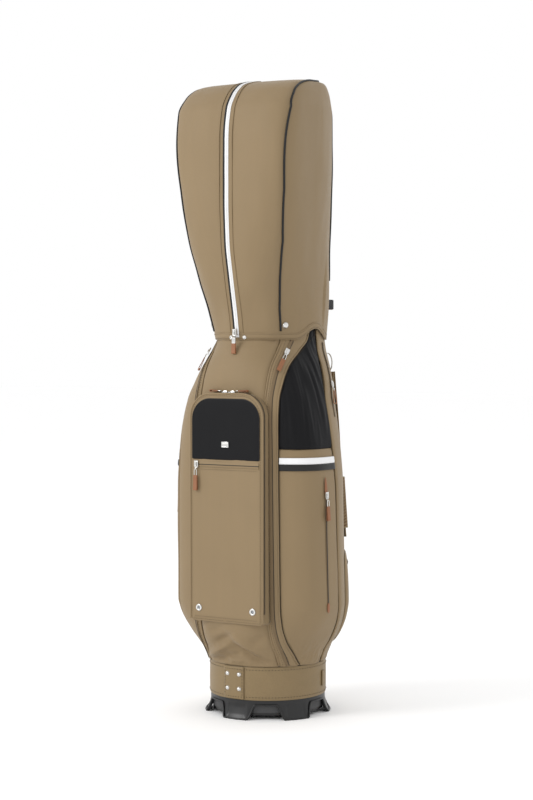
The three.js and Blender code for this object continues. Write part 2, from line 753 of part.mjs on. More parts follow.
// A slider on its frame's origin and a pull that lies down the surface from its lower end,
// turning on a round barrel.
function addZip(name, frame, length = pullLength) {
  const half = sliderWidth / 2;
  const nose = new THREE.Shape();
  nose.moveTo(-half * 0.6, -sliderLength / 2);
  nose.lineTo(half * 0.6, -sliderLength / 2);
  nose.lineTo(half, 0);
  nose.lineTo(half, sliderLength / 2);
  nose.lineTo(-half, sliderLength / 2);
  nose.lineTo(-half, 0);
  const body = frontPlate(nose, sliderStandoff + sliderThickness, sliderThickness);
  add(`${name}_slider`, body, nickel, frame);
  const narrow = pullWidth * 0.3;
  const wide = pullWidth / 2;
  const top = -sliderLength / 2 - pullGap;
  const tab = new THREE.Shape();
  tab.moveTo(-wide, top - length + wide);
  tab.absarc(0, top - length + wide, wide, Math.PI, 2 * Math.PI);
  tab.lineTo(wide, top - length * 0.4);
  tab.lineTo(narrow, top - length * 0.25);
  tab.lineTo(narrow, top);
  tab.lineTo(-narrow, top);
  tab.lineTo(-narrow, top - length * 0.25);
  tab.lineTo(-wide, top - length * 0.4);
  const axis = sliderStandoff + sliderThickness;
  const plate = frontPlate(tab, axis + pullThickness / 2, pullThickness, 4);
  const barrel = new THREE.CylinderGeometry(pullThickness / 2, pullThickness / 2, 2 * narrow,
    barrelSides);
  barrel.rotateZ(Math.PI / 2);
  barrel.translate(0, -axis, top);
  add(`${name}_pull`, toGeometry(toSolid(plate).add(toSolid(barrel))), saddleLeather, frame);
}

function makeZips() {
  const hoodFront = levelAt(hoodRows, hem + hoodSliderRise).front;
  const hoodZip = surfaceFrame([0, -hoodFront - hoodSliderStandoff, hem + hoodSliderRise],
    [0, -1, 0], [0, 0, 1]);
  addZip('hood', hoodZip, hoodPullLength);

  const archLevel = pocketTop + clearance;
  for (const [side, sign] of [['left', -1], ['right', 1]]) {
    const across = sign * (sliderLength / 2 + 1);
    const archZip = surfaceFrame([across, -pocketFront + flapThickness + sliderWidth / 2 + 4,
      archLevel], [0, 0, 1], [-sign, 0, 0]);
    addZip(`arch_${side}`, archZip, archPullLength);
  }

  const faceZip = surfaceFrame([faceSliderInset - pocketHalfWidth, -pocketFront,
    insertBottom - faceZipDrop], [0, -1, 0], [0, 0, 1]);
  addZip('face', faceZip, facePullLength);

  for (const [side, sign] of [['left', -1], ['right', 1]]) {
    const garmentX = sign * (frontHalfWidth + stripOuter) / 2;
    const mirror = (degrees) => (sign > 0 ? degrees : -180 - degrees);
    addZip(`garment_${side}`, outlineFrame(bodyRows, hem - garmentSliderDrop,
      (level) => angleAtX(level, garmentX), garmentStandoff, garmentReach));
    addZip(`side_${side}`, outlineFrame(bodyRows, hem - sideSliderDrop, () => mirror(-sideZipAngle),
      curveStandoff));
    addZip(`rear_${side}`, outlineFrame(bodyRows, hem - rearSliderDrop,
      () => mirror(rearZipAngle), curveStandoff), rearPullLength);
  }
}

// ---- Shoulder strap -----------------------------------------------------------------------

function makeStrap() {
  const depth = collarBack + strapStandoff;
  const top = new THREE.Vector3(strapTopX, depth, hem - strapTopDrop);
  const foot = new THREE.Vector3(strapFootX, depth - strapStandoff,
    beltTop + rearPocketTop + strapFootRise);
  const up = top.clone().sub(foot);
  const length = up.length();
  const frame = surfaceFrame(foot.toArray(), [0.53, 0.85, 0], up.toArray());
  const strap = boxGeometry([strapWidth, strapThickness, length], [0, 0, length / 2]);
  add('shoulder_strap', strap, tanTwill, frame);
  const inner = [strapWidth + 2 * clearance, strapThickness + 2 * clearance];
  const outer = inner.map((size) => size + 2 * sleeveWall);
  const middle = [0, 0, sleeveRise + sleeveLength / 2];
  const shell = toSolid(boxGeometry([...outer, sleeveLength], middle));
  const room = toSolid(boxGeometry([...inner, sleeveLength + 2], middle));
  add('strap_leather_sleeve', toGeometry(shell.subtract(room)), tanLeather, frame);
  const ring = new THREE.TorusGeometry(strapWidth * 0.36, ringWire / 2, 6, 18);
  ring.rotateX(Math.PI / 2);
  const loop = add('strap_ring_upper', ring, nickel, frame);
  loop.position.set(0, 0, length + strapWidth * 0.36 + ringWire);
}

// ---- Hood ---------------------------------------------------------------------------------

function makeHood() {
  const steps = 44;
  const hemWave = (degrees) => {
    const fromSide = Math.min(Math.abs(degrees), Math.abs(degrees - 180)) / 28;
    return fromSide < 1 ? hemArch * Math.cos(fromSide * Math.PI / 2) ** 2 : 0;
  };
  const ringOf = (row, grow, drop) => {
    const ring = outlineRing({ ...row, z: row.z - drop }, steps, grow);
    if (row.z === hem) {
      ring.forEach((point, i) => {
        point[2] += hemWave(i * 360 / steps - 90);
      });
    }
    return ring;
  };
  const crownStart = hoodEnd - crownDepth;
  const outer = hoodRows.map((row) => ringOf(row, 0, 0));
  const inner = hoodRows.map((row) => ringOf(row, -hoodWall, row.z > crownStart ? hoodWall : 0));
  const shell = ringBody([...inner.reverse(), ...outer], false);
  const slot = boxGeometry([2 * slotHalfWidth, 120, slotTop + 80],
    [0, 130, hem + (slotTop - 80) / 2]);
  add('hood_shell', toGeometry(toSolid(shell).subtract(toSolid(slot))), tanTwill);

  for (const [side, sign] of [['left', -1], ['right', 1]]) {
    const degrees = sign > 0 ? -snapAngle : snapAngle - 180;
    const frame = outlineFrame(hoodRows, hem + snapRise, () => degrees, 0.8);
    const dome = new THREE.LatheGeometry([
      [0, 0], [snapRadius, 0], [snapRadius, snapHeight * 0.4],
      [snapRadius * 0.6, snapHeight * 0.9], [0, snapHeight],
    ].map(([r, y]) => new THREE.Vector2(r, y)), 12);
    const snap = add(`hood_snap_${side}`, dome, nickel, frame);
    snap.rotation.x = Math.PI;
  }
}

makeBase();
makeBelt();
makeFrame();
makeHandle();
makePanels();
makePocket();
makeZips();
makeStrap();
makeHood();

export default group;
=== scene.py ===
# Golf staff bag with its travel hood on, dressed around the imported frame.
import json
import math
import bpy
import bmesh
import numpy as np
from mathutils import Matrix, Vector, noise

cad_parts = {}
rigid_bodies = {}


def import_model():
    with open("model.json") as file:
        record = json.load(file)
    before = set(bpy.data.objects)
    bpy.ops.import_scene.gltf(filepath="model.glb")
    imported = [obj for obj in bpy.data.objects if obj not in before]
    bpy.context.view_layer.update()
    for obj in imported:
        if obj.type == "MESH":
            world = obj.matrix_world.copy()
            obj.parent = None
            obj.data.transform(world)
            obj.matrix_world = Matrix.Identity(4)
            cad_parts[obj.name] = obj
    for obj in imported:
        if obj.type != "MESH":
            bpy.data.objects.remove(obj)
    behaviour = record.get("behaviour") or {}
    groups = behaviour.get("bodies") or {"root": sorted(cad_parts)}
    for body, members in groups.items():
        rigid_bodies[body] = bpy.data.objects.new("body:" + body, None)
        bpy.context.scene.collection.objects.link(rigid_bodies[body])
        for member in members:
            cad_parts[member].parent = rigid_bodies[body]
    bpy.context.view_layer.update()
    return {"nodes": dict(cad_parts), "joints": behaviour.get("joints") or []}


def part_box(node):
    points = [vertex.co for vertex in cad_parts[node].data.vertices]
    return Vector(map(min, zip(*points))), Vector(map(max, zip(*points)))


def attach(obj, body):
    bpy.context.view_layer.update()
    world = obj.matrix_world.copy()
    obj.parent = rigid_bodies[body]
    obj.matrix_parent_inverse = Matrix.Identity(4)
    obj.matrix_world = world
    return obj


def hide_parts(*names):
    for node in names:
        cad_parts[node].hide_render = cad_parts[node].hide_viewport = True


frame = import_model()
joints = {joint["name"]: joint for joint in frame["joints"]}
mm = 0.001
for thing in bpy.data.objects:
    thing.select_set(False)
print("frame loaded", len(frame["nodes"]), "nodes")


# outlines ------------------------------------------------------------------------------
# the same levels as the frame: height, half width, centre line, front, back, squareness

bag = {
    "beltTop": 104, "hem": 741, "bodyTop": 775, "hoodTop": 1250,
    "beltRadius": 116.5, "overhang": 0.5, "setback": 13,
    "collar": (98, 108, 134), "hemSpread": 2.5, "hoodSpread": 5.5,
    "panelHalf": 74, "stripOuter": {"right": 98, "left": 140}, "stripSpread": 6, "sideRear": 5,
    "blackFrom": 531, "stripeBottom": 490, "stripeTop": 515,
    "skin": 3.0,
}
bodySwell = [
    (129, 11, 5, 4, -4, 2.1), (161, 33, 12, 8, -8, 2.4), (193, 48.5, 15, 9, -14, 2.8),
    (225, 57, 16, 8, -22, 3), (449, 61, 20, -1, -31, 3), (513, 57, 21, -3, -32, 3),
    (577, 48, 24, -3, -30, 3), (625, 38.5, 26, -3, -26, 2.8), (657, 31, 25.5, -2, -15, 2.4),
    (689, 20, 20, -1, -5, 2.2), (721, 5, 9, 1, 6, 2),
]
hoodSwell = [
    (801, 7.5, 12, 1, 4, 2.2), (865, 13.5, 24.5, 2, -9, 2.8), (929, 18.5, 35, 2, -26, 3.6),
    (1025, 28.5, 41, 1, -42, 4.5), (1121, 33.5, 41, -1, -45, 6), (1185, 33.5, 32, -7, -38, 6),
    (1217, 30.5, 13, -22, -28, 5), (1233, 26.5, -8, -38, -18, 4.5),
    (1242, 21.5, -34, -54, -10, 4), (1250, -7.5, -84, -88, 4, 3),
]


def bodyRows():
    foot = bag["beltRadius"] + bag["overhang"]
    rim = [size + bag["hemSpread"] for size in bag["collar"]]
    rows = [(bag["beltTop"] + 0.3, foot, 0, foot, foot, 2)]
    for z, side, front, back, centre, square in bodySwell:
        share = (z - bag["beltTop"]) / (bag["hem"] - bag["beltTop"])
        cone = [foot + (end - foot) * share for end in rim]
        rows.append((z, cone[0] + side, centre, cone[1] + front, cone[2] + back, square))
    rows.append((bag["hem"], rim[0], bag["setback"], rim[1], rim[2], 2))
    half, front, back = bag["collar"]
    rows.append((bag["bodyTop"], half, bag["setback"], front, back, 2))
    return np.array(rows, float)


def hoodRows():
    rim = [size + bag["hoodSpread"] for size in bag["collar"]]
    rows = [(bag["hem"], rim[0], bag["setback"], rim[1], rim[2], 2)]
    for z, side, front, back, centre, square in hoodSwell:
        rows.append((z, rim[0] + side, centre, rim[1] + front, rim[2] + back, square))
    return np.array(rows, float)


def slopesOf(z, values):
    # gentle slopes that never overshoot between two rows
    steps = np.diff(values) / np.diff(z)
    slopes = np.zeros(len(z))
    slopes[0], slopes[-1] = steps[0], steps[-1]
    for i in range(1, len(z) - 1):
        if steps[i - 1] * steps[i] > 0:
            slopes[i] = 2 * steps[i - 1] * steps[i] / (steps[i - 1] + steps[i])
    return slopes


class Outline:
    def __init__(self, rows):
        self.rows = rows
        self.slopes = [slopesOf(rows[:, 0], rows[:, k]) for k in range(rows.shape[1])]

    def level(self, z):
        heights = self.rows[:, 0]
        z = np.clip(z, heights[0], heights[-1])
        i = np.clip(np.searchsorted(heights, z) - 1, 0, len(heights) - 2)
        gap = heights[i + 1] - heights[i]
        t = (z - heights[i]) / gap
        mixed = []
        for k in range(1, self.rows.shape[1]):
            a, b = self.rows[i, k], self.rows[i + 1, k]
            sa, sb = self.slopes[k][i] * gap, self.slopes[k][i + 1] * gap
            mixed.append((2 * t**3 - 3 * t**2 + 1) * a + (t**3 - 2 * t**2 + t) * sa
                         + (3 * t**2 - 2 * t**3) * b + (t**3 - t**2) * sb)
        return mixed

    def point(self, z, angle, grow=0.0):
        # angle in degrees: 0 on +X, -90 at the front, 90 at the back
        z, angle = np.broadcast_arrays(np.asarray(z, float), np.asarray(angle, float))
        half, centre, front, back, square = self.level(z)
        turn = np.radians(angle)
        c, s = np.cos(turn), np.sin(turn)
        power = 2 / np.where(s < 0, square, 2)
        depth = np.where(s < 0, front + centre, back - centre)
        x = np.sign(c) * (half + grow) * np.abs(c) ** power
        y = centre + np.sign(s) * (depth + grow) * np.abs(s) ** power
        return np.stack([x, y, z + 0 * x], -1)

    def angleAtX(self, z, x):
        half, *_, square = self.level(np.asarray(z, float))
        share = np.minimum(np.abs(x) / half, 1)
        angle = np.degrees(np.arccos(share ** (square / 2)))
        return np.where(np.asarray(x) < 0, angle - 180, -angle)


body = Outline(bodyRows())
hoodLine = Outline(hoodRows())


def normalsOf(points):
    # outward normals of a grid whose columns run anticlockwise seen from above
    up = np.gradient(points, axis=0)
    along = np.gradient(points, axis=1)
    normal = np.cross(along, up)
    return normal / np.maximum(np.linalg.norm(normal, axis=-1, keepdims=True), 1e-9)


def wander(points, scale, seed=0.0):
    # smooth noise at points in mm, about -1 to 1
    flat = points.reshape(-1, 3)
    values = [noise.noise(Vector(p) / scale + Vector((seed, 2 * seed, 0))) for p in flat]
    return np.array(values).reshape(points.shape[:-1])


# meshes --------------------------------------------------------------------------------

def newMesh(name, points, faces, uv=None, smooth=True):
    mesh = bpy.data.meshes.new(name)
    mesh.from_pydata([tuple(p) for p in np.asarray(points) * mm], [], faces)
    if uv is not None:
        layer = mesh.uv_layers.new(name="cloth")
        loops = np.array([loop.vertex_index for loop in mesh.loops])
        layer.data.foreach_set("uv", (np.asarray(uv)[loops] * mm).astype(np.float32).ravel())
    mesh.polygons.foreach_set("use_smooth", [smooth] * len(mesh.polygons))
    mesh.update()
    thing = bpy.data.objects.new(name, mesh)
    bpy.context.scene.collection.objects.link(thing)
    return thing


def gridUv(points):
    across = np.linalg.norm(np.diff(points, axis=1), axis=-1)
    u = np.concatenate([np.zeros((points.shape[0], 1)), np.cumsum(across, 1)], 1)
    u = u - u.mean(1, keepdims=True)
    rise = np.linalg.norm(np.diff(points, axis=0), axis=-1)
    v = np.concatenate([np.zeros((1, points.shape[1])), np.cumsum(rise, 0)], 0)
    return np.stack([u, v], -1)


def gridPiece(name, points, material, closed=False, keep=None):
    rows, cols = points.shape[:2]
    faces = []
    for j in range(rows - 1):
        for i in range(cols if closed else cols - 1):
            k = (i + 1) % cols
            if keep is None or keep[j, i]:
                faces.append((j * cols + i, j * cols + k, (j + 1) * cols + k, (j + 1) * cols + i))
    piece = newMesh(name, points.reshape(-1, 3), faces, gridUv(points).reshape(-1, 2))
    piece.data.materials.append(material)
    return piece


def runAlong(line):
    steps = np.linalg.norm(np.diff(line, axis=0), axis=1)
    return np.concatenate([[0], np.cumsum(steps)])


def evenly(line, count):
    # a closed line as so many evenly spaced spots
    closed = np.vstack([line, line[:1]])
    run = runAlong(closed)
    share = np.linspace(0, run[-1], count, endpoint=False)
    return np.stack([np.interp(share, run, closed[:, k]) for k in (0, 1)], -1)


def sweep(name, path, outward, section, material, loop=False, smooth=True):
    # carries a closed section (across, out) along a path, both in mm
    path = np.asarray(path, float)
    outward = np.asarray(outward, float)
    if loop:
        along = np.roll(path, -1, 0) - np.roll(path, 1, 0)
    else:
        along = np.gradient(path, axis=0)
    along /= np.maximum(np.linalg.norm(along, axis=1, keepdims=True), 1e-9)
    across = np.cross(along, outward)
    across /= np.maximum(np.linalg.norm(across, axis=1, keepdims=True), 1e-9)
    out = np.cross(across, along)
    section = np.asarray(section, float)
    n, m = len(path), len(section)
    points = (path[:, None] + across[:, None] * section[None, :, :1]
              + out[:, None] * section[None, :, 1:2])
    faces = []
    for j in range(n if loop else n - 1):
        k = (j + 1) % n
        for i in range(m):
            h = (i + 1) % m
            faces.append((j * m + i, j * m + h, k * m + h, k * m + i))
    if not loop:
        faces.append(tuple(range(m - 1, -1, -1)))
        faces.append(tuple((n - 1) * m + i for i in range(m)))
    run = runAlong(path)
    girth = np.cumsum(np.linalg.norm(np.diff(section, axis=0, prepend=section[:1]), axis=1))
    uv = np.stack(np.broadcast_arrays(girth[None, :], run[:, None]), -1).reshape(-1, 2)
    piece = newMesh(name, points.reshape(-1, 3), faces, uv, smooth)
    tidyFaces(piece)
    piece.data.materials.append(material)
    return piece


def tidyFaces(piece):
    shape = bmesh.new()
    shape.from_mesh(piece.data)
    bmesh.ops.recalc_face_normals(shape, faces=shape.faces)
    shape.to_mesh(piece.data)
    shape.free()
    return piece


def roundSection(radius, sides=8, lift=0.0):
    turns = np.arange(sides) * 2 * math.pi / sides
    return [(radius * math.cos(t), radius * math.sin(t) + lift) for t in turns]


def flatSection(width, thick, lift=0.0, bulge=0.0):
    half = width / 2
    edge = min(thick * 0.4, half * 0.3)
    return [(-half, lift), (half, lift), (half, lift + thick - edge),
            (half - edge, lift + thick), (0, lift + thick + bulge),
            (edge - half, lift + thick), (-half, lift + thick - edge)]


def stitchRow(name, path, outward, material, length=3.2, gap=1.8, radius=0.45, lift=0.25):
    # a dash of thread for every stitch, all in one piece
    path = np.asarray(path, float)
    outward = np.asarray(outward, float)
    run = runAlong(path)
    starts = np.arange(gap / 2, run[-1] - length, length + gap)
    at = lambda s: np.array([np.interp(s, run, path[:, k]) for k in range(3)])
    outAt = lambda s: np.array([np.interp(s, run, outward[:, k]) for k in range(3)])
    points, faces = [], []
    for start in starts:
        a, b, out = at(start), at(start + length), outAt(start + length / 2)
        along = (b - a) / np.linalg.norm(b - a)
        across = np.cross(along, out)
        across /= np.linalg.norm(across)
        out = np.cross(across, along)
        base = len(points)
        points.append(a)
        for spot in (a + (b - a) * 0.25, a + (b - a) * 0.75):
            spot = spot + out * lift
            for c, s in ((1, 0), (0, 1), (-1, 0), (0, -1)):
                points.append(spot + (across * c + out * s) * radius)
        points.append(b)
        for i in range(4):
            k = (i + 1) % 4
            faces.append((base, base + 1 + i, base + 1 + k))
            faces.append((base + 1 + i, base + 5 + i, base + 5 + k, base + 1 + k))
            faces.append((base + 5 + i, base + 9, base + 5 + k))
    piece = newMesh(name, points, faces)
    tidyFaces(piece)
    piece.data.materials.append(material)
    return piece


def pickOnly(piece):
    bpy.ops.object.select_all(action="DESELECT")
    bpy.context.view_layer.objects.active = piece
    piece.select_set(True)


def applyModifiers(piece):
    pickOnly(piece)
    for modifier in list(piece.modifiers):
        bpy.ops.object.modifier_apply(modifier=modifier.name)
    piece.select_set(False)


def thicken(piece, thick, offset=-1.0):
    wall = piece.modifiers.new("wall", "SOLIDIFY")
    wall.thickness = thick * mm
    wall.offset = offset
    applyModifiers(piece)
    return piece


def joinPieces(name, pieces):
    bpy.ops.object.select_all(action="DESELECT")
    for piece in pieces:
        piece.select_set(True)
    bpy.context.view_layer.objects.active = pieces[0]
    bpy.ops.object.join()
    pieces[0].name = name
    pieces[0].data.name = name
    pieces[0].select_set(False)
    return pieces[0]


def place(piece, bodyName, slotName, *nodes):
    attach(piece, bodyName)
    if nodes:
        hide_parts(*nodes)
    return piece


def startEdit(piece):
    pickOnly(piece)
    bpy.ops.object.mode_set(mode="EDIT")


def endEdit(piece):
    bpy.ops.object.mode_set(mode="OBJECT")
    piece.select_set(False)


def selectFaces(piece, test):
    bpy.ops.mesh.select_all(action="DESELECT")
    bpy.ops.mesh.select_mode(type="FACE")
    shape = bmesh.from_edit_mesh(piece.data)
    for face in shape.faces:
        face.select = test(face)
    bmesh.update_edit_mesh(piece.data)


def smoothBelow(piece, degrees):
    pickOnly(piece)
    bpy.ops.object.shade_smooth_by_angle(angle=math.radians(degrees))
    piece.select_set(False)


def smoothAll(piece):
    for face in piece.data.polygons:
        face.use_smooth = True


def softenEdges(piece, width, segments=2, angle=30):
    bevel = piece.modifiers.new("soft", "BEVEL")
    bevel.width = width * mm
    bevel.segments = segments
    bevel.limit_method = "ANGLE"
    bevel.angle_limit = math.radians(angle)
    applyModifiers(piece)
    smoothBelow(piece, 40)
    return piece


# materials -----------------------------------------------------------------------------

def linear(hexCode):
    channels = [int(hexCode[i:i + 2], 16) / 255 for i in (1, 3, 5)]
    return [c / 12.92 if c <= 0.04045 else ((c + 0.055) / 1.055) ** 2.4 for c in channels] + [1]


def addNode(tree, kind, inputs=None, **settings):
    node = tree.nodes.new(kind)
    for key, value in settings.items():
        setattr(node, key, value)
    for key, value in (inputs or {}).items():
        if isinstance(value, bpy.types.NodeSocket):
            tree.links.new(value, node.inputs[key])
        else:
            node.inputs[key].default_value = value
    return node


def newMaterial(name, **sockets):
    material = bpy.data.materials.new(name)
    material.use_nodes = True
    tree = material.node_tree
    shader = tree.nodes["Principled BSDF"]
    for key, value in sockets.items():
        shader.inputs[key.replace("_", " ")].default_value = value
    return material, tree, shader


def toned(tree, vector, hexCode, scale, spread, detail=3.0):
    # one colour that drifts a little lighter and darker over the piece
    drift = addNode(tree, "ShaderNodeTexNoise",
                    {"Vector": vector, "Scale": scale, "Detail": detail})
    low, high = linear(hexCode), linear(hexCode)
    low = [c * (1 - spread) for c in low[:3]] + [1]
    high = [min(c * (1 + spread), 1) for c in high[:3]] + [1]
    return addNode(tree, "ShaderNodeMix", {0: drift.outputs["Fac"], 6: low, 7: high},
                   data_type="RGBA").outputs[2]


def finishMaterial(tree, shader, colour, rough, bump=None):
    tree.links.new(colour, shader.inputs["Base Color"])
    tree.links.new(rough, shader.inputs["Roughness"])
    if bump is not None:
        tree.links.new(bump, shader.inputs["Normal"])


def clothMaterial(name, hexCode, thread, spread, roughness, sheen, strength=0.25, gloss=0.35):
    # woven nylon: matt, faint diagonal ribs, a soft bloom at grazing angles
    material, tree, shader = newMaterial(name, IOR=1.5, Sheen_Weight=sheen,
                                         Sheen_Roughness=0.4, Specular_IOR_Level=gloss)
    uv = addNode(tree, "ShaderNodeUVMap", uv_map="cloth").outputs["UV"]
    place3d = addNode(tree, "ShaderNodeTexCoord").outputs["Object"]
    ribs = 0.314 / (thread * mm)              # wave scale for that rib spacing
    turned = addNode(tree, "ShaderNodeMapping", {"Vector": uv, "Rotation": (0, 0, 0.9)})
    weft = addNode(tree, "ShaderNodeTexWave", {"Vector": turned.outputs[0], "Scale": ribs,
                   "Distortion": 0.6, "Detail": 1.0}, bands_direction="X")
    warp = addNode(tree, "ShaderNodeTexWave", {"Vector": uv, "Scale": ribs * 1.3},
                   bands_direction="X")
    fine = addNode(tree, "ShaderNodeMath", {0: weft.outputs["Fac"], 1: warp.outputs["Fac"]},
                   operation="ADD")
    tone = toned(tree, place3d, hexCode, 9.0, spread)
    streak = addNode(tree, "ShaderNodeMapping", {"Vector": uv, "Scale": (90, 3, 1)})
    streaks = addNode(tree, "ShaderNodeTexNoise", {"Vector": streak.outputs[0], "Scale": 1.0,
                      "Detail": 2.0})
    shade = addNode(tree, "ShaderNodeMapRange", {0: streaks.outputs["Fac"], 3: 0.96, 4: 1.03})
    rib = addNode(tree, "ShaderNodeMapRange", {0: weft.outputs["Fac"], 3: 0.95, 4: 1.03})
    both = addNode(tree, "ShaderNodeMath", {0: shade.outputs[0], 1: rib.outputs[0]},
                   operation="MULTIPLY")
    colour = addNode(tree, "ShaderNodeVectorMath", {0: tone, 3: both.outputs[0]},
                     operation="SCALE")
    bump = addNode(tree, "ShaderNodeBump", {"Height": fine.outputs[0], "Strength": strength,
                   "Distance": 0.25 * mm})
    rough = addNode(tree, "ShaderNodeMapRange", {0: streaks.outputs["Fac"],
                    3: roughness - 0.05, 4: roughness + 0.05})
    finishMaterial(tree, shader, colour.outputs[0], rough.outputs[0], bump.outputs[0])
    return material


def leatherMaterial(name, hexCode, grain, roughness, worn):
    # pebbled hide: fine cells, darker in the creases, a low satin shine
    material, tree, shader = newMaterial(name, IOR=1.5, Specular_IOR_Level=0.4)
    spot = addNode(tree, "ShaderNodeTexCoord").outputs["Object"]
    cells = addNode(tree, "ShaderNodeTexVoronoi", {"Vector": spot, "Scale": 1 / (grain * mm)},
                    feature="SMOOTH_F1")
    crease = addNode(tree, "ShaderNodeTexNoise", {"Vector": spot, "Scale": 260.0, "Detail": 4.0})
    tone = toned(tree, spot, hexCode, 40.0, worn, 5.0)
    shade = addNode(tree, "ShaderNodeMapRange", {0: cells.outputs["Distance"], 2: 0.8,
                    3: 1.04, 4: 0.88})
    colour = addNode(tree, "ShaderNodeVectorMath", {0: tone, 3: shade.outputs[0]},
                     operation="SCALE")
    height = addNode(tree, "ShaderNodeMath", {0: cells.outputs["Distance"],
                     1: crease.outputs["Fac"]}, operation="SUBTRACT")
    bump = addNode(tree, "ShaderNodeBump", {"Height": height.outputs[0], "Strength": 0.25,
                   "Distance": 0.2 * mm}, invert=True)
    rough = addNode(tree, "ShaderNodeMapRange", {0: crease.outputs["Fac"],
                    3: roughness - 0.08, 4: roughness + 0.08})
    finishMaterial(tree, shader, colour.outputs[0], rough.outputs[0], bump.outputs[0])
    return material


def mouldedMaterial(name, hexCode, roughness, grit):
    # injection-moulded polypropylene: dark, satin, a fine spark-eroded grit
    material, tree, shader = newMaterial(name, IOR=1.49, Specular_IOR_Level=0.5)
    spot = addNode(tree, "ShaderNodeTexCoord").outputs["Object"]
    speck = addNode(tree, "ShaderNodeTexNoise", {"Vector": spot, "Scale": 1 / (grit * mm),
                    "Detail": 3.0})
    tone = toned(tree, spot, hexCode, 30.0, 0.12)
    bump = addNode(tree, "ShaderNodeBump", {"Height": speck.outputs["Fac"], "Strength": 0.12,
                   "Distance": 0.15 * mm})
    rough = addNode(tree, "ShaderNodeMapRange", {0: speck.outputs["Fac"],
                    3: roughness - 0.07, 4: roughness + 0.09})
    finishMaterial(tree, shader, tone, rough.outputs[0], bump.outputs[0])
    return material


def metalMaterial(name, hexCode, roughness):
    # plated metal: bright, with faint handling marks in the polish
    material, tree, shader = newMaterial(name, Metallic=1.0)
    spot = addNode(tree, "ShaderNodeTexCoord").outputs["Object"]
    marks = addNode(tree, "ShaderNodeTexNoise", {"Vector": spot, "Scale": 300.0, "Detail": 4.0})
    rough = addNode(tree, "ShaderNodeMapRange", {0: marks.outputs["Fac"],
                    3: roughness * 0.7, 4: roughness * 1.4})
    tone = toned(tree, spot, hexCode, 120.0, 0.04)
    finishMaterial(tree, shader, tone, rough.outputs[0])
    return material


tanTwill = clothMaterial("tanNylonTwill", "#867254", 1.3, 0.05, 0.62, 0.1)
tanLining = clothMaterial("tanLining", "#5e4f3b", 1.3, 0.05, 0.8, 0.1)
blackTwill = clothMaterial("blackNylonTwill", "#121214", 1.3, 0.12, 0.55, 0.01, gloss=0.14)
blackWebbing = clothMaterial("blackPolyamideWebbing", "#1d1d1f", 2.4, 0.10, 0.7, 0.1, 0.7)
pipingCord = clothMaterial("blackCoatedPiping", "#0e0e0f", 1.2, 0.05, 0.45, 0.0)
# a dark ribbon laid in the seam gaps: painted shade
paintedSeamShade = clothMaterial("shadedSeamGap", "#2e251a", 1.2, 0.08, 0.9, 0.0)
zipTape = clothMaterial("tanZipTape", "#746147", 1.0, 0.05, 0.7, 0.1, 0.5)
# the zips' coils: their own dark colour, darkened further as painted shade of the zip's opening
zipCoilAndShade = clothMaterial("zipCoilWithPaintedShade", "#2f2922", 1.0, 0.08, 0.5, 0.0, 0.8)
whiteTape = clothMaterial("whiteCoatedTape", "#e9e9ea", 1.0, 0.02, 0.5, 0.05, 0.15)
blackTape = clothMaterial("blackCoatedTape", "#191817", 1.0, 0.05, 0.45, 0.05, 0.15)
tanThread = clothMaterial("tanBondedThread", "#9c8766", 0.6, 0.05, 0.6, 0.1)
beltThread = clothMaterial("brownWaxedThread", "#3f3120", 0.6, 0.05, 0.6, 0.1)
darkThread = clothMaterial("darkTanThread", "#65553d", 0.6, 0.05, 0.7, 0.1)
tanLeather = leatherMaterial("pebbledTanLeather", "#826e4d", 1.6, 0.48, 0.06)
saddleLeather = leatherMaterial("saddleLeather", "#8c5c3c", 1.1, 0.5, 0.16)
saddleDark = leatherMaterial("saddleLeatherEdge", "#5f3a22", 1.1, 0.6, 0.12)
basePlastic = mouldedMaterial("mouldedPolypropylene", "#121213", 0.36, 0.8)
collarPlastic = mouldedMaterial("collarPolypropylene", "#262627", 0.5, 0.8)
toothPlastic = mouldedMaterial("whiteAcetalTeeth", "#dcdcdb", 0.35, 0.6)
tubeSheet = mouldedMaterial("rolledTubeSheet", "#3a3a3b", 0.55, 1.2)
dividerCloth = clothMaterial("brushedDividerCloth", "#2a2b2e", 1.0, 0.1, 0.9, 0.4)
nickel = metalMaterial("nickelPlatedZinc", "#d6d5d2", 0.16)
stayMetal = metalMaterial("drawnSpringSteel", "#8d9094", 0.3)
print("materials made")


# sewn body -----------------------------------------------------------------------------

look = {"fold": 5.0, "pleat": 3.2, "pinch": 2.2, "pinchWidth": 5.0, "ripple": 1.1}


def bodyGrid(edgeA, edgeB, bottom, top, cols, rows, grow=0.0):
    z = np.linspace(bottom, top, rows)
    a, b = edgeA(z), edgeB(z)
    share = np.linspace(0, 1, cols)
    angle = a[:, None] + (b - a)[:, None] * share[None]
    return body.point(z[:, None] + 0 * angle, angle, grow), angle


def stripAngle(z, x):
    # the strips draw apart towards the belt
    z = np.asarray(z, float)
    spread = bag["stripSpread"] * (bag["hem"] - z) / (bag["hem"] - bag["beltTop"])
    return body.angleAtX(z, x + np.sign(x) * spread)


def atX(x):
    return lambda z: stripAngle(z, x)


def atAngle(degrees):
    return lambda z: np.full(len(z), float(degrees))


def mirrored(edge):
    return lambda z: -180 - edge(z)


def bodyLine(z, angle, lift):
    # spots that far off the skin, with the way out at each
    spots = body.point(z, angle, lift)
    return spots, body.point(z, angle, 8) - spots


def sideEdges(edgeA, edgeB, sign):
    # a piece's two edges, swapped over for the left side
    return (edgeA, edgeB) if sign > 0 else (mirrored(edgeB), mirrored(edgeA))


def edgePinch(points, sides=(True, True), depth=None):
    # cloth dips where it is sewn down along its side seams
    depth = look["pinch"] if depth is None else depth
    u = gridUv(points)[..., 0]
    left = np.exp(-((u - u[:, :1]) / look["pinchWidth"]) ** 2) * sides[0]
    right = np.exp(-((u[:, -1:] - u) / look["pinchWidth"]) ** 2) * sides[1]
    return -depth * (left + right)


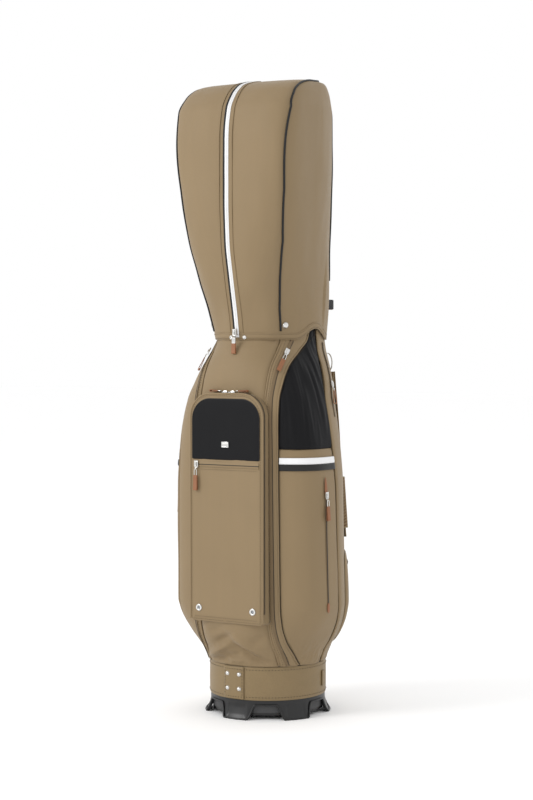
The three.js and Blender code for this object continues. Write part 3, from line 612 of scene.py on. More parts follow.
def footGather(points, strength=1.0):
    # short puckers where the body is drawn in under the belt
    z = points[..., 2]
    turn = np.degrees(np.arctan2(points[..., 1], points[..., 0]))
    rise = np.clip((z - bag["beltTop"]) / 70, 0, 1)
    seedPoints = np.stack([turn * 1.1, z * 0.25, 0 * z], -1)
    waves = wander(seedPoints, 7.0, 3.1) + 0.6 * wander(seedPoints, 3.6, 5.7)
    return strength * look["fold"] * 0.55 * waves * (1 - rise) ** 1.4 * np.minimum(rise * 9, 1)


def softRipple(points, seed, amount=None):
    amount = look["ripple"] if amount is None else amount
    stretched = points * np.array([1, 1, 0.35])
    return amount * wander(stretched, 38.0, seed)


def ridge(points, start, end, width, height):
    # a long soft fold between two spots on the front, given as (x, z)
    p = points[..., [0, 2]]
    a, b = np.array(start, float), np.array(end, float)
    t = np.clip(((p - a) @ (b - a)) / ((b - a) @ (b - a)), 0, 1)
    away = np.linalg.norm(p - (a + t[..., None] * (b - a)), axis=-1)
    fade = np.sin(math.pi * np.clip(t * 0.8 + 0.1, 0, 1))
    return height * fade * np.exp(-(away / width) ** 2)


def makeFrontPanel():
    half = bag["panelHalf"]
    points, _ = bodyGrid(atX(-half), atX(half), bag["beltTop"] + 0.3, bag["bodyTop"], 61, 240)
    push = edgePinch(points) + footGather(points, 0.6) + softRipple(points, 1.3, 0.8)
    low = np.clip(points[..., 2] - bag["beltTop"], 0, None)
    tame = np.minimum(low / 12, 1)
    # the cloth comes forward to meet the pocket's foot, then sinks in slack folds to the belt
    across = np.clip(np.abs(points[..., 0]) / 76, 0, 1)
    up = points[..., 2]
    reach = np.where(up < 196, np.clip((up - 126) / 66, 0, 1), np.clip((206 - up) / 10, 0, 1))
    push = push + 17 * (3 * reach**2 - 2 * reach**3) * (1 - across**4)
    for start, end, width, height in (
            ((-70, 118), (-6, 150), 7, 9), ((-64, 108), (8, 128), 6, -8),
            ((-52, 172), (-8, 186), 9, -6), ((-40, 150), (4, 172), 8, -8),
            ((4, 172), (62, 124), 11, 9), ((-2, 152), (66, 108), 8, -9),
            ((-44, 122), (30, 114), 5, 5), ((40, 150), (72, 172), 9, -4)):
        push = push + tame * ridge(points, start, end, width, height)
    points = points + normalsOf(points) * push[..., None]
    mouth = (np.abs(points[..., 0]) < 66) & (points[..., 2] > 201) & (points[..., 2] < 591)
    panel = gridPiece("front_panel_cloth", points, tanTwill, keep=~mouth)
    panel.data.validate()
    shape = bmesh.new()
    shape.from_mesh(panel.data)
    loose = [v for v in shape.verts if not v.link_faces]
    bmesh.ops.delete(shape, geom=loose, context="VERTS")
    shape.to_mesh(panel.data)
    shape.free()
    thicken(panel, bag["skin"])
    place(panel, "bag", "tan_twill", "front_panel")


def makeStrips():
    inner = bag["panelHalf"] + 0.3
    for side, sign in (("right", 1), ("left", -1)):
        outer = bag["stripOuter"][side]
        edgeA, edgeB = sideEdges(atX(inner), atX(outer), sign)
        points, _ = bodyGrid(edgeA, edgeB, bag["beltTop"] + 0.3, bag["bodyTop"], 28, 220)
        push = (edgePinch(points, depth=1.6) + 0.5 * footGather(points)
                + softRipple(points, 4 * sign, 0.4))
        points = points + normalsOf(points) * (push + 0.8)[..., None]
        strip = thicken(gridPiece(f"corner_strip_cloth_{side}", points, tanTwill), bag["skin"])
        place(strip, "bag", "tan_twill", f"corner_strip_{side}")
        z = np.linspace(bag["beltTop"] + 3, 762, 200)
        for name, x, lift, section, material in (
                ("strip_panel_welt", inner, -0.6, roundSection(1.5), tanTwill),
                ("strip_rear_welt", outer + 0.2, -0.6, roundSection(1.7), tanTwill),
                # the garment zip's two dark coil lines also carry painted shade of its opening
                ("garment_zip_front", 84.6, 0.9, flatSection(1.3, 0.5), zipCoilAndShade),
                ("garment_zip_back", 87.8, 0.9, flatSection(1.3, 0.5), zipCoilAndShade),
                ("garment_zip_tape", 86.2, 0.9, flatSection(9.0, 0.35), zipTape),
                # strip_shadow is a painted shadow line in the seam beside the rear welt
                ("strip_shadow", outer + 1.9, 0.2, flatSection(1.6, 0.4), paintedSeamShade)):
            spots, away = bodyLine(z, stripAngle(z, sign * x), lift)
            place(sweep(f"{name}_{side}", spots, away, section, material), "bag", "tan_twill")
        spots, away = bodyLine(z, stripAngle(z, sign * 79.4), 0.9)
        place(stitchRow(f"strip_stitches_{side}", spots, away, darkThread), "bag", "tan_twill")


def makeSides():
    for side, sign in (("right", 1), ("left", -1)):
        start = bag["stripOuter"][side] + 0.3
        edgeA, edgeB = sideEdges(atX(start), atAngle(bag["sideRear"]), sign)
        points, _ = bodyGrid(edgeA, edgeB, bag["beltTop"] + 0.3, bag["blackFrom"], 70, 190)
        top = np.exp(-((bag["blackFrom"] - points[..., 2]) / 5) ** 2)
        push = edgePinch(points) + footGather(points) + softRipple(points, 7 * sign, 1.6) - 2 * top
        points = points + normalsOf(points) * push[..., None]
        low = thicken(gridPiece(f"side_pocket_cloth_{side}", points, tanTwill), bag["skin"])
        place(low, "bag", "tan_twill", f"side_pocket_{side}")
        points, _ = bodyGrid(edgeA, edgeB, bag["blackFrom"] + 0.3, bag["bodyTop"], 90, 130)
        z = points[..., 2]
        turn = np.degrees(np.arctan2(points[..., 1] + 20, points[..., 0] * sign))
        free = np.clip((z - bag["blackFrom"]) / 60, 0, 1) * np.clip((bag["bodyTop"] - z) / 60, 0, 1)
        pleats = np.stack([turn, z * 0.05, 0 * z], -1)
        waves = wander(pleats, 6.5, 2.2) + 0.5 * wander(pleats, 3.1, 8.4)
        bottom = np.exp(-((z - bag["blackFrom"]) / 4) ** 2)
        push = (edgePinch(points) + look["pleat"] * waves * (0.25 + free)
                + softRipple(points, 9 * sign, 1.2) - 2 * bottom)
        points = points + normalsOf(points) * push[..., None]
        upper = thicken(gridPiece(f"side_upper_cloth_{side}", points, blackTwill), bag["skin"])
        place(upper, "bag", "black_twill", f"side_upper_{side}")
        makeStripes(side, sign)
        makeSideZip(side, sign)


def makeStripes(side, sign):
    start = bag["stripOuter"][side] + 2.6
    edgeA, edgeB = sideEdges(atX(start), atAngle(bag["sideRear"] - 0.8), sign)
    middle = (bag["stripeBottom"] + bag["stripeTop"]) / 2
    bands = (("white", middle + 0.1, bag["stripeTop"], whiteTape),
             ("black", bag["stripeBottom"], middle, blackTape))
    for colour, bottom, top, material in bands:
        points, _ = bodyGrid(edgeA, edgeB, bottom, top, 60, 7, 1.6)
        across = np.linspace(-1, 1, 7)[:, None]
        points = points + normalsOf(points) * (-0.7 * across ** 6)[..., None]
        tape = thicken(gridPiece(f"stripe_{colour}_{side}", points, material), 1.2)
        nodes = (f"stripe_band_{side}",) if colour == "white" else ()
        place(tape, "bag", "stripe_tape", *nodes)


def zipAlong(name, z, angle, width):
    spots = body.point(z, angle, 0.8)
    away = body.point(z, angle, 8.8) - spots
    for part, section, material in (("tape", flatSection(width, 0.5), zipTape),
                                    ("coil", flatSection(2.0, 1.0, 0.2), zipCoilAndShade)):
        place(sweep(f"{name}_{part}", spots, away, section, material), "bag", "tan_twill")


sideZip = {"angle": 8.5, "top": (444, 476), "foot": (213, 232.5)}


def makeSideZip(side, sign):
    # a slit zip with a leather patch sewn on each end
    turn = -sideZip["angle"] if sign > 0 else sideZip["angle"] - 180
    z = np.linspace(228, 446, 100)
    angle = np.full(len(z), float(turn))
    zipAlong(f"side_zip_{side}", z, angle, 6.0)
    for end in ("top", "foot"):
        z = np.linspace(*sideZip[end], 14)
        share = np.linspace(0, 1, 14)
        if end == "top":
            half = 5.0 * np.sqrt(np.clip(1 - share ** 1.5, 0, 1)) + 0.15
        else:
            half = 4.2 * np.sqrt(np.clip(1 - (2 * share - 1) ** 4, 0, 1)) + 0.15
        across = np.linspace(-1, 1, 7)
        spread = half[:, None] * across[None] * 0.36 * sign
        grid = body.point(z[:, None] + 0 * spread, turn + spread, 1.9)
        dome = 0.5 * (1 - across[None] ** 2) + 0 * spread
        grid = grid + normalsOf(grid) * dome[..., None] * sign
        patch = gridPiece(f"side_zip_patch_{end}_{side}", grid, saddleLeather)
        tidyFaces(patch)
        thicken(patch, 1.0, 0.0)
        place(patch, "bag", "saddle_leather")


def makeRear():
    edgeA, edgeB = atAngle(bag["sideRear"] + 0.2), atAngle(179.8 - bag["sideRear"])
    points, _ = bodyGrid(edgeA, edgeB, bag["beltTop"] + 0.3, bag["bodyTop"], 150, 220)
    push = edgePinch(points) + 0.8 * footGather(points) + softRipple(points, 12.5, 1.2)
    points = points + normalsOf(points) * push[..., None]
    back = thicken(gridPiece("rear_panel_cloth", points, tanTwill), bag["skin"])
    place(back, "bag", "tan_twill", "rear_panel")
    for side, angle in (("right", bag["sideRear"] + 0.1), ("left", 179.9 - bag["sideRear"])):
        z = np.linspace(bag["beltTop"] + 3, 762, 160)
        spots, away = bodyLine(z, angle, -0.5)
        place(sweep(f"rear_welt_{side}", spots, away, roundSection(1.7), tanTwill),
              "bag", "tan_twill")
        z = np.linspace(590, 736, 70)
        turn = 17.0 if side == "right" else 163.0
        zipAlong(f"rear_zip_{side}", z, np.full(len(z), turn), 7.0)


rearPad = {"from": 22, "to": 158, "bottom": 142, "top": 332, "depth": 14.0, "corner": 0.22}


def makeRearPocket():
    # a stuffed low pocket on the back, with a curved upper edge and a zip across its face
    cols, rows = 90, 60
    share = np.linspace(0, 1, cols)
    rise = np.linspace(0, 1, rows)
    angle = rearPad["from"] + (rearPad["to"] - rearPad["from"]) * share
    dip = 16 * np.abs(2 * share - 1) ** 3
    z = rearPad["bottom"] + (rearPad["top"] - dip - rearPad["bottom"])[None] * rise[:, None]
    wide = np.clip(np.sin(math.pi * share), 0, 1) ** 0.35
    tall = np.clip(np.sin(math.pi * rise), 0, 1) ** 0.35
    grow = 0.8 + rearPad["depth"] * 0.82 * wide[None] * tall[:, None]
    points = body.point(z, angle[None] + 0 * z, grow)
    inner = body.point(z, angle[None] + 0 * z, 0.6)
    faces, n = [], rows * cols
    for j in range(rows - 1):
        for i in range(cols - 1):
            a = j * cols + i
            faces.append((a, a + 1, a + cols + 1, a + cols))
            faces.append((n + a, n + a + cols, n + a + cols + 1, n + a + 1))
    rim = ([j * cols for j in range(rows)] + [(rows - 1) * cols + i for i in range(1, cols)]
           + [j * cols + cols - 1 for j in range(rows - 2, -1, -1)]
           + [i for i in range(cols - 2, 0, -1)])
    for a, b in zip(rim, rim[1:] + rim[:1]):
        faces.append((a, b, n + b, n + a))
    both = np.concatenate([points.reshape(-1, 3), inner.reshape(-1, 3)])
    uv = np.concatenate([gridUv(points).reshape(-1, 2)] * 2)
    pad = tidyFaces(newMesh("rear_pocket_cloth", both, faces, uv))
    pad.data.materials.append(tanTwill)
    puffed(pad, both, n)
    place(pad, "bag", "tan_twill", "rear_pocket")
    topLine = rows - 9
    spots = points[topLine, 8:-8] + normalsOf(points)[topLine, 8:-8] * 0.6
    away = normalsOf(points)[topLine, 8:-8]
    for part, section, material in (("tape", flatSection(8, 0.8), zipTape),
                                    ("coil", flatSection(2, 1.4), zipCoilAndShade)):
        place(sweep(f"rear_pocket_zip_{part}", spots, away, section, material),
              "bag", "tan_twill")


def puffed(pad, both, outerCount):
    # a short cloth run with a little air inside puffs the pocket and creases its rim
    copy = pad.copy()
    copy.data = pad.data.copy()
    bpy.context.scene.collection.objects.link(copy)
    copy.name = "puffing"
    pins = copy.vertex_groups.new(name="sewn")
    pins.add(list(range(outerCount, len(both))), 1.0, "REPLACE")
    cloth = copy.modifiers.new("cloth", "CLOTH")
    cloth.settings.use_pressure = True
    cloth.settings.uniform_pressure_force = 3.0
    cloth.settings.vertex_group_mass = "sewn"
    cloth.settings.effector_weights.gravity = 0.0
    cloth.settings.quality = 4
    cloth.settings.mass = 0.3
    cloth.point_cache.frame_start = 1
    cloth.point_cache.frame_end = 16
    for step in range(1, 17):
        bpy.context.scene.frame_set(step)
    graph = bpy.context.evaluated_depsgraph_get()
    done = copy.evaluated_get(graph).to_mesh()
    moved = np.array([v.co for v in done.vertices]) / mm
    shift = moved - both
    size = np.linalg.norm(shift, axis=1, keepdims=True)
    cap = 3.0
    shift = shift * np.minimum(1, cap / np.maximum(size, 1e-6))
    shift[outerCount:] = 0
    pad.data.vertices.foreach_set("co", ((both + shift) * mm).astype(np.float32).ravel())
    pad.data.update()
    bpy.context.scene.frame_set(1)
    bpy.data.objects.remove(copy)


makeFrontPanel()
makeStrips()
makeSides()
makeRear()
makeRearPocket()
print("body sewn")


# ball pocket ---------------------------------------------------------------------------

pocket = {"half": 83, "bottom": 193, "top": 637, "corner": 46, "foot": 6, "face": 154.5,
          "flap": 3.5, "insertTop": 627, "insertBottom": 509, "insertSide": 6, "wall": 3.0}


def archLine(half, bottom, top, corner, foot, step=4.0):
    # the outline from the middle of the foot round to it again, as (x, z)
    line = []

    def arc(cx, cz, radius, a0, a1):
        count = max(int(abs(a1 - a0) / 90 * radius * 1.57 / step), 5)
        for t in np.radians(np.linspace(a0, a1, count)):
            line.append((cx + radius * math.cos(t), cz + radius * math.sin(t)))

    def straight(x0, z0, x1, z1):
        count = max(int(math.hypot(x1 - x0, z1 - z0) / step), 1)
        for t in np.arange(count) / count:
            line.append((x0 + (x1 - x0) * t, z0 + (z1 - z0) * t))

    straight(0, bottom, half - foot, bottom)
    arc(half - foot, bottom + foot, foot, -90, 0)
    straight(half, bottom + foot, half, top - corner)
    arc(half - corner, top - corner, corner, 0, 90)
    straight(half - corner, top, corner - half, top)
    arc(corner - half, top - corner, corner, 90, 180)
    straight(-half, top - corner, -half, bottom + foot)
    arc(foot - half, bottom + foot, foot, 180, 270)
    straight(foot - half, bottom, 0, bottom)
    clean = [line[0]]
    for spot in line[1:]:
        if math.dist(spot, clean[-1]) > 0.2:
            clean.append(spot)
    if math.dist(clean[0], clean[-1]) < 0.2:
        clean.pop()
    return np.array(clean)


def insideArch(x, z, half, bottom, top, corner, foot):
    # how deep a spot lies inside the arch, positive inside
    dx = half - np.abs(x)
    dz = np.minimum(z - bottom, top - z)
    depth = np.minimum(dx, dz)
    for radius, edge in ((corner, top - corner), (foot, bottom + foot)):
        beyond = (z > edge) if edge > bottom + foot else (z < edge)
        cx = half - radius
        near = beyond & (np.abs(x) > cx)
        depth = np.where(near, radius - np.hypot(np.abs(x) - cx, z - edge), depth)
    return depth


def facePlate(name, half, bottom, top, corner, foot, y, thick, material, crown, edge=6.0,
              ripple=0.0):
    # a sewn face: crowned between its seams, dipping at its edge
    rings = [0.0, 0.8, 2.0, 4.0, 7.0, 12.0, 20.0, 32.0]
    centre = np.array([0.0, (bottom + top) / 2])
    count = len(archLine(half, bottom, top, corner, foot))
    grid, faces = [], []
    for inset in rings:
        small = archLine(half - inset, bottom + inset, top - inset,
                         max(corner - inset, 1.0), max(foot - inset, 1.0))
        grid.append(evenly(small, count))
    for shrink in (0.75, 0.5, 0.25):
        grid.append(centre + (grid[len(rings) - 1] - centre) * shrink)
    grid = np.array(grid)
    depth = insideArch(grid[..., 0], grid[..., 1], half, bottom, top, corner, foot)
    rise = crown * (1 - np.exp(-np.clip(depth, 0, None) / edge))
    flat = np.stack([grid[..., 0], 0 * grid[..., 0], grid[..., 1]], -1)
    waves = wander(flat * np.array([1, 1, 0.5]), 34.0, 6.6)
    rise = rise + ripple * waves * np.clip(depth / 14, 0, 1)
    points = np.stack([grid[..., 0], -(y + rise), grid[..., 1]], -1).reshape(-1, 3)
    points = np.vstack([points, [0, -(y + rise[-1].mean()), centre[1]]])
    for j in range(len(grid) - 1):
        for i in range(count):
            k = (i + 1) % count
            faces.append((j * count + i, j * count + k, (j + 1) * count + k, (j + 1) * count + i))
    last = (len(grid) - 1) * count
    for i in range(count):
        faces.append((last + i, last + (i + 1) % count, len(points) - 1))
    uv = points[:, [0, 2]]
    piece = newMesh(name, points, faces, uv)
    piece.data.materials.append(material)
    tidyFaces(piece)
    centreFace = piece.data.polygons[len(piece.data.polygons) // 2]
    if centreFace.normal.y > 0:
        piece.data.flip_normals()
    thicken(piece, thick)
    return piece


def forward(count):
    return np.tile([0.0, -1.0, 0.0], (count, 1))


def archSweep(name, outline, y, above, radius, material, slotName):
    # a cord round the arch, open at its foot
    path = np.stack([outline[:, 0], np.full(len(outline), -y), outline[:, 1]], -1)
    path = path[path[:, 2] > above]
    piece = sweep(name, path, forward(len(path)), roundSection(radius), material)
    return place(piece, "ball_flap", slotName)


def makeBallPocket():
    p = pocket
    args = (p["half"], p["bottom"], p["top"], p["corner"], p["foot"])
    flapBack = p["face"] - p["flap"]
    flap = facePlate("ball_flap_cloth", *args, flapBack + 1.2, 2.2, tanTwill, crown=2.4, ripple=0.9)
    place(flap, "ball_flap", "tan_twill", "ball_pocket_flap")
    s = p["insertSide"]
    insert = facePlate("flap_insert_cloth", p["half"] - s, p["insertBottom"], p["insertTop"],
                       p["corner"] - s, 1.5, p["face"] + 0.1, 0.8, blackTwill, crown=1.0,
                       edge=3.0, ripple=0.5)
    place(insert, "ball_flap", "black_twill", "flap_black_insert")
    rim = np.roll(archLine(*args), -20, 0)
    archSweep("flap_edge_welt", rim, p["face"] - 2.2, p["bottom"] + 3, 1.8, tanTwill, "tan_twill")
    inner = archLine(p["half"] - s, p["insertBottom"], p["insertTop"], p["corner"] - s, 1.5)
    inner = np.roll(inner, -18, 0)
    archSweep("insert_edge", inner, p["face"] + 0.1, p["insertBottom"] + 1, 0.9, pipingCord,
              "black_twill")
    makeGusset(args, flapBack)
    makePocketZip(flapBack)
    makeFaceZip()


def makeGusset(args, flapBack):
    # the cloth wall round the pocket, from the body out to the flap
    p = pocket
    count = len(archLine(*args, step=3.0))
    rows = 7
    grid = np.zeros((rows, count, 3))
    for j in range(rows):
        t = j / (rows - 1)
        tuck = 0.9 * math.sin(math.pi * t)
        small = archLine(p["half"] - 0.4 - tuck, p["bottom"] + 0.4 + tuck, p["top"] - 0.4 - tuck,
                         p["corner"] - 1, p["foot"] - 1, step=3.0)
        spot = evenly(small, count)
        angle = body.angleAtX(spot[:, 1], spot[:, 0])
        skin = body.point(spot[:, 1], angle)[:, 1] + 0.8
        face = np.full(count, -(flapBack - 0.4))
        grid[j, :, 0] = spot[:, 0]
        grid[j, :, 1] = skin + (np.minimum(face, skin - 0.5) - skin) * t
        grid[j, :, 2] = spot[:, 1]
    gusset = gridPiece("gusset_cloth", grid, tanTwill, closed=True)
    tidyFaces(gusset)
    thicken(gusset, 2.0, 0.0)
    place(gusset, "bag", "tan_twill", "ball_pocket_gusset")


def makePocketZip(flapBack):
    # up one side, over the arch and down the other, on the gusset
    p = pocket
    line = archLine(p["half"] + 0.4, p["bottom"] - 0.4, p["top"] + 0.4, p["corner"], p["foot"])
    path = np.stack([line[:, 0], np.full(len(line), -(flapBack - 4.5)), line[:, 1]], -1)
    path = path[path[:, 2] > p["bottom"] + 19]
    away = path - np.array([0, 0, (p["bottom"] + p["top"]) / 2])
    away[:, 1] = 0
    overTop = (np.abs(path[:, 0]) < p["half"] - p["corner"]) & (path[:, 2] > 600)
    away[:, 0] = np.where(overTop, 0, away[:, 0])
    away[:, 2] = np.where(np.abs(path[:, 0]) > p["half"] - 1, 0, away[:, 2])
    for part, section, material in (("tape", flatSection(6.0, 0.5), zipTape),
                                    ("coil", flatSection(2.2, 1.1), zipCoilAndShade)):
        place(sweep(f"pocket_zip_{part}", path, away, section, material), "bag", "tan_twill")


def makeFaceZip():
    # slit zip under the insert, with two rows of stitches below it
    p = pocket
    zFace = p["insertBottom"] - 10
    x = np.linspace(-73, 76, 60)
    path = np.stack([x, np.full(60, -(p["face"] - 0.2)), np.full(60, zFace)], -1)
    away = forward(60)
    for part, section, material in (("tape", flatSection(12.0, 0.6), tanTwill),
                                    ("coil", flatSection(1.6, 0.9), zipCoilAndShade)):
        place(sweep(f"face_zip_{part}", path, away, section, material), "ball_flap", "tan_twill")
    for row, drop in (("upper", 4.8), ("lower", 9.5)):
        shifted = path - np.array([0, 0.5, drop])
        place(stitchRow(f"face_stitches_{row}", shifted, away, darkThread),
              "ball_flap", "tan_twill")
    z = np.full(60, p["bottom"] + 9.0)
    path = np.stack([x, np.full(60, -(p["face"] + 0.15)), z], -1)
    place(stitchRow("flap_foot_stitches", path, away, darkThread), "ball_flap", "tan_twill")
    lineIn = archLine(p["half"] - 4, p["bottom"] + 4, p["top"] - 4, p["corner"] - 4, p["foot"] - 4)
    path = np.stack([lineIn[:, 0], np.full(len(lineIn), -(p["face"] - 0.1)), lineIn[:, 1]], -1)
    place(stitchRow("flap_edge_stitches", path, forward(len(path)), darkThread),
          "ball_flap", "tan_twill")


def makeEyelets():
    for side in ("left", "right"):
        low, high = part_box(f"flap_eyelet_{side}")
        middle = (low + high) / 2
        bpy.ops.mesh.primitive_torus_add(major_radius=4.9 * mm, minor_radius=1.9 * mm,
                                         major_segments=40, minor_segments=14)
        ring = bpy.context.object
        ring.name = f"flap_eyelet_ring_{side}"
        squeeze = Matrix.Diagonal((1, 1, 0.62, 1))
        turn = Matrix.Rotation(math.radians(90), 4, "X")
        spot = Matrix.Translation((middle.x, low.y + 1.2 * mm, middle.z))
        ring.data.transform(spot @ turn @ squeeze)
        smoothAll(ring)
        bpy.ops.mesh.primitive_circle_add(vertices=32, radius=3.4 * mm, fill_type="NGON")
        mesh = bpy.context.object
        mesh.name = f"flap_eyelet_screen_{side}"
        startEdit(mesh)
        bpy.ops.mesh.inset(thickness=1.2 * mm)
        bpy.ops.mesh.extrude_region_move(TRANSFORM_OT_translate={"value": (0, 0, 0.4 * mm)})
        endEdit(mesh)
        mesh.data.transform(Matrix.Translation((middle.x, high.y + 0.1 * mm, middle.z)) @ turn)
        tidyFaces(mesh)
        ring.data.materials.append(nickel)
        mesh.data.materials.append(stayMetal)
        place(ring, "ball_flap", "nickel", f"flap_eyelet_{side}")
        place(mesh, "ball_flap", "nickel")


def makeBadge():
    low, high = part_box("badge_plate")
    middle, size = (low + high) / 2, high - low
    bpy.ops.mesh.primitive_cube_add(size=1, location=(0, 0, 0))
    plate = bpy.context.object
    plate.name = "blank_badge"
    plate.data.transform(Matrix.Diagonal((size.x, size.y, size.z, 1)))
    startEdit(plate)
    selectFaces(plate, lambda face: face.normal.y < -0.9)
    bpy.ops.mesh.inset(thickness=1.3 * mm)
    bpy.ops.mesh.extrude_region_move(TRANSFORM_OT_translate={"value": (0, 0.35 * mm, 0)})
    endEdit(plate)
    plate.data.transform(Matrix.Translation(middle))
    softenEdges(plate, 0.25)
    plate.data.materials.append(nickel)
    place(plate, "ball_flap", "nickel", "badge_plate")


makeBallPocket()
makeEyelets()
makeBadge()
print("ball pocket sewn")


# belt and base -------------------------------------------------------------------------

belt = {"radius": 116.5, "bottom": 38, "top": 103.7, "wall": 4.2, "tabFrom": -14.4, "tabTo": 8.4}


def ringPoint(radius, degreesFromFront, z):
    turn = np.radians(np.asarray(degreesFromFront, float))
    return np.stack([radius * np.sin(turn), -radius * np.cos(turn), z + 0 * turn], -1)


def makeBelt():
    turns = np.linspace(0, 360, 180, endpoint=False)
    rise = np.linspace(0, 1, 15)
    z = belt["bottom"] + (belt["top"] - belt["bottom"]) * rise
    bulge = 1.1 * np.sin(math.pi * rise) ** 0.3 - 1.1
    grid = np.stack([ringPoint(belt["radius"] + b, turns, h) for b, h in zip(bulge, z)])
    band = gridPiece("belt_leather", grid, tanLeather, closed=True)
    tidyFaces(band)
    thicken(band, belt["wall"])
    softenEdges(band, 0.6)
    place(band, "bag", "tan_leather", "belt_band")
    turns = np.linspace(0, 360, 361)
    for edge, height in (("lower", belt["bottom"] + 6), ("upper", belt["top"] - 6)):
        path = ringPoint(belt["radius"] - 0.1, turns, height)
        away = ringPoint(1.0, turns, 0) * np.array([1, 1, 0])
        place(stitchRow(f"belt_stitches_{edge}", path, away, beltThread, 3.0, 3.4, 0.6, 0.3),
              "bag", "tan_leather")


def makeTab():
    a, b = belt["tabFrom"], belt["tabTo"]
    turns = np.linspace(a, b, 26)
    z = np.linspace(belt["bottom"] + 1, belt["top"] - 0.7, 34)
    edge = np.minimum.outer(np.minimum(z - z[0], z[-1] - z), np.full(26, 99.0))
    side = (np.minimum(turns - a, b - turns) * math.radians(1) * belt["radius"])[None]
    near = np.minimum(edge, side)
    grow = 2.0 + 0.9 * (1 - np.exp(-near / 2.0))
    grid = np.stack([ringPoint(1.0, turns, 0) * (belt["radius"] + grow[j])[:, None]
                     + np.array([0, 0, z[j]]) for j in range(len(z))])
    tab = gridPiece("belt_tab_leather", grid, tanLeather)
    thicken(tab, 2.3)
    place(tab, "bag", "tan_leather", "belt_overlap_tab")
    lift = belt["radius"] + 2.8
    low, high = z[0] + 5, z[-1] - 5
    corners = [(a + 1.6, low), (b - 1.6, low), (b - 1.6, high), (a + 1.6, high), (a + 1.6, low)]
    line = []
    for (t0, z0), (t1, z1) in zip(corners, corners[1:]):
        for s in np.linspace(0, 1, 14, endpoint=False):
            line.append(ringPoint(lift, t0 + (t1 - t0) * s, z0 + (z1 - z0) * s))
    line = np.array(line)
    away = line * np.array([1, 1, 0]) / lift
    place(stitchRow("tab_stitches", line, away, beltThread, 3.0, 3.0, 0.6, 0.3),
          "bag", "tan_leather")


def makeKeeper():
    low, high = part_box("belt_keeper")
    turns = np.linspace(97, 103, 10)
    z = np.linspace(low.z / mm, high.z / mm, 16)
    share = np.abs(2 * (z - z[0]) / (z[-1] - z[0]) - 1)
    radii = belt["radius"] + 3.1 - 0.7 * share ** 6
    grid = np.stack([ringPoint(radius, turns, h) for radius, h in zip(radii, z)])
    keeper = gridPiece("belt_keeper_leather", grid, tanLeather)
    thicken(keeper, 2.4)
    place(keeper, "bag", "tan_leather", "belt_keeper")


def makeDome(name, node, bodyName, radius, height):
    # a set rivet or snap: a domed cap on a thin flange
    low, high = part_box(node)
    source = frame["nodes"][node].data
    middle = (low + high) / 2
    bpy.ops.mesh.primitive_uv_sphere_add(segments=32, ring_count=16, radius=radius * mm)
    cap = bpy.context.object
    cap.name = name
    startEdit(cap)
    bpy.ops.mesh.select_all(action="SELECT")
    bpy.ops.mesh.bisect(plane_co=(0, 0, 0), plane_no=(0, 0, 1), clear_inner=True, use_fill=True)
    selectFaces(cap, lambda face: face.normal.z < -0.9)
    bpy.ops.mesh.extrude_region_move(TRANSFORM_OT_translate={"value": (0, 0, -0.5 * mm)})
    bpy.ops.transform.resize(value=(1.12, 1.12, 1), center_override=(0, 0, 0))
    endEdit(cap)
    cap.data.transform(Matrix.Diagonal((1, 1, height / radius, 1)))
    flat = max(source.polygons, key=lambda face: face.area).normal
    axis = Vector((0, 0, 0))
    for face in source.polygons:
        axis = axis + face.normal * face.area if face.normal.dot(flat) > 0.99 else axis
    axis.normalize()
    outward = Vector((middle.x, middle.y, 0)).normalized()
    if axis.dot(outward) > 0:
        outward = axis
    elif axis.dot(outward) < -0.5:
        outward = -axis
    turn = outward.to_track_quat("Z", "Y").to_matrix().to_4x4()
    base = middle - outward * (height * 0.5 - 0.3) * mm
    cap.data.transform(Matrix.Translation(base) @ turn)
    smoothAll(cap)
    softenEdges(cap, 0.15)
    cap.data.materials.append(nickel)
    place(cap, bodyName, "nickel", node)


foot = {"count": 6, "half": 12.0, "slope": 7.5, "arch": 27.5, "reach": 6.5, "bead": 1.7,
        "top": 37.7, "radius": 113.6}


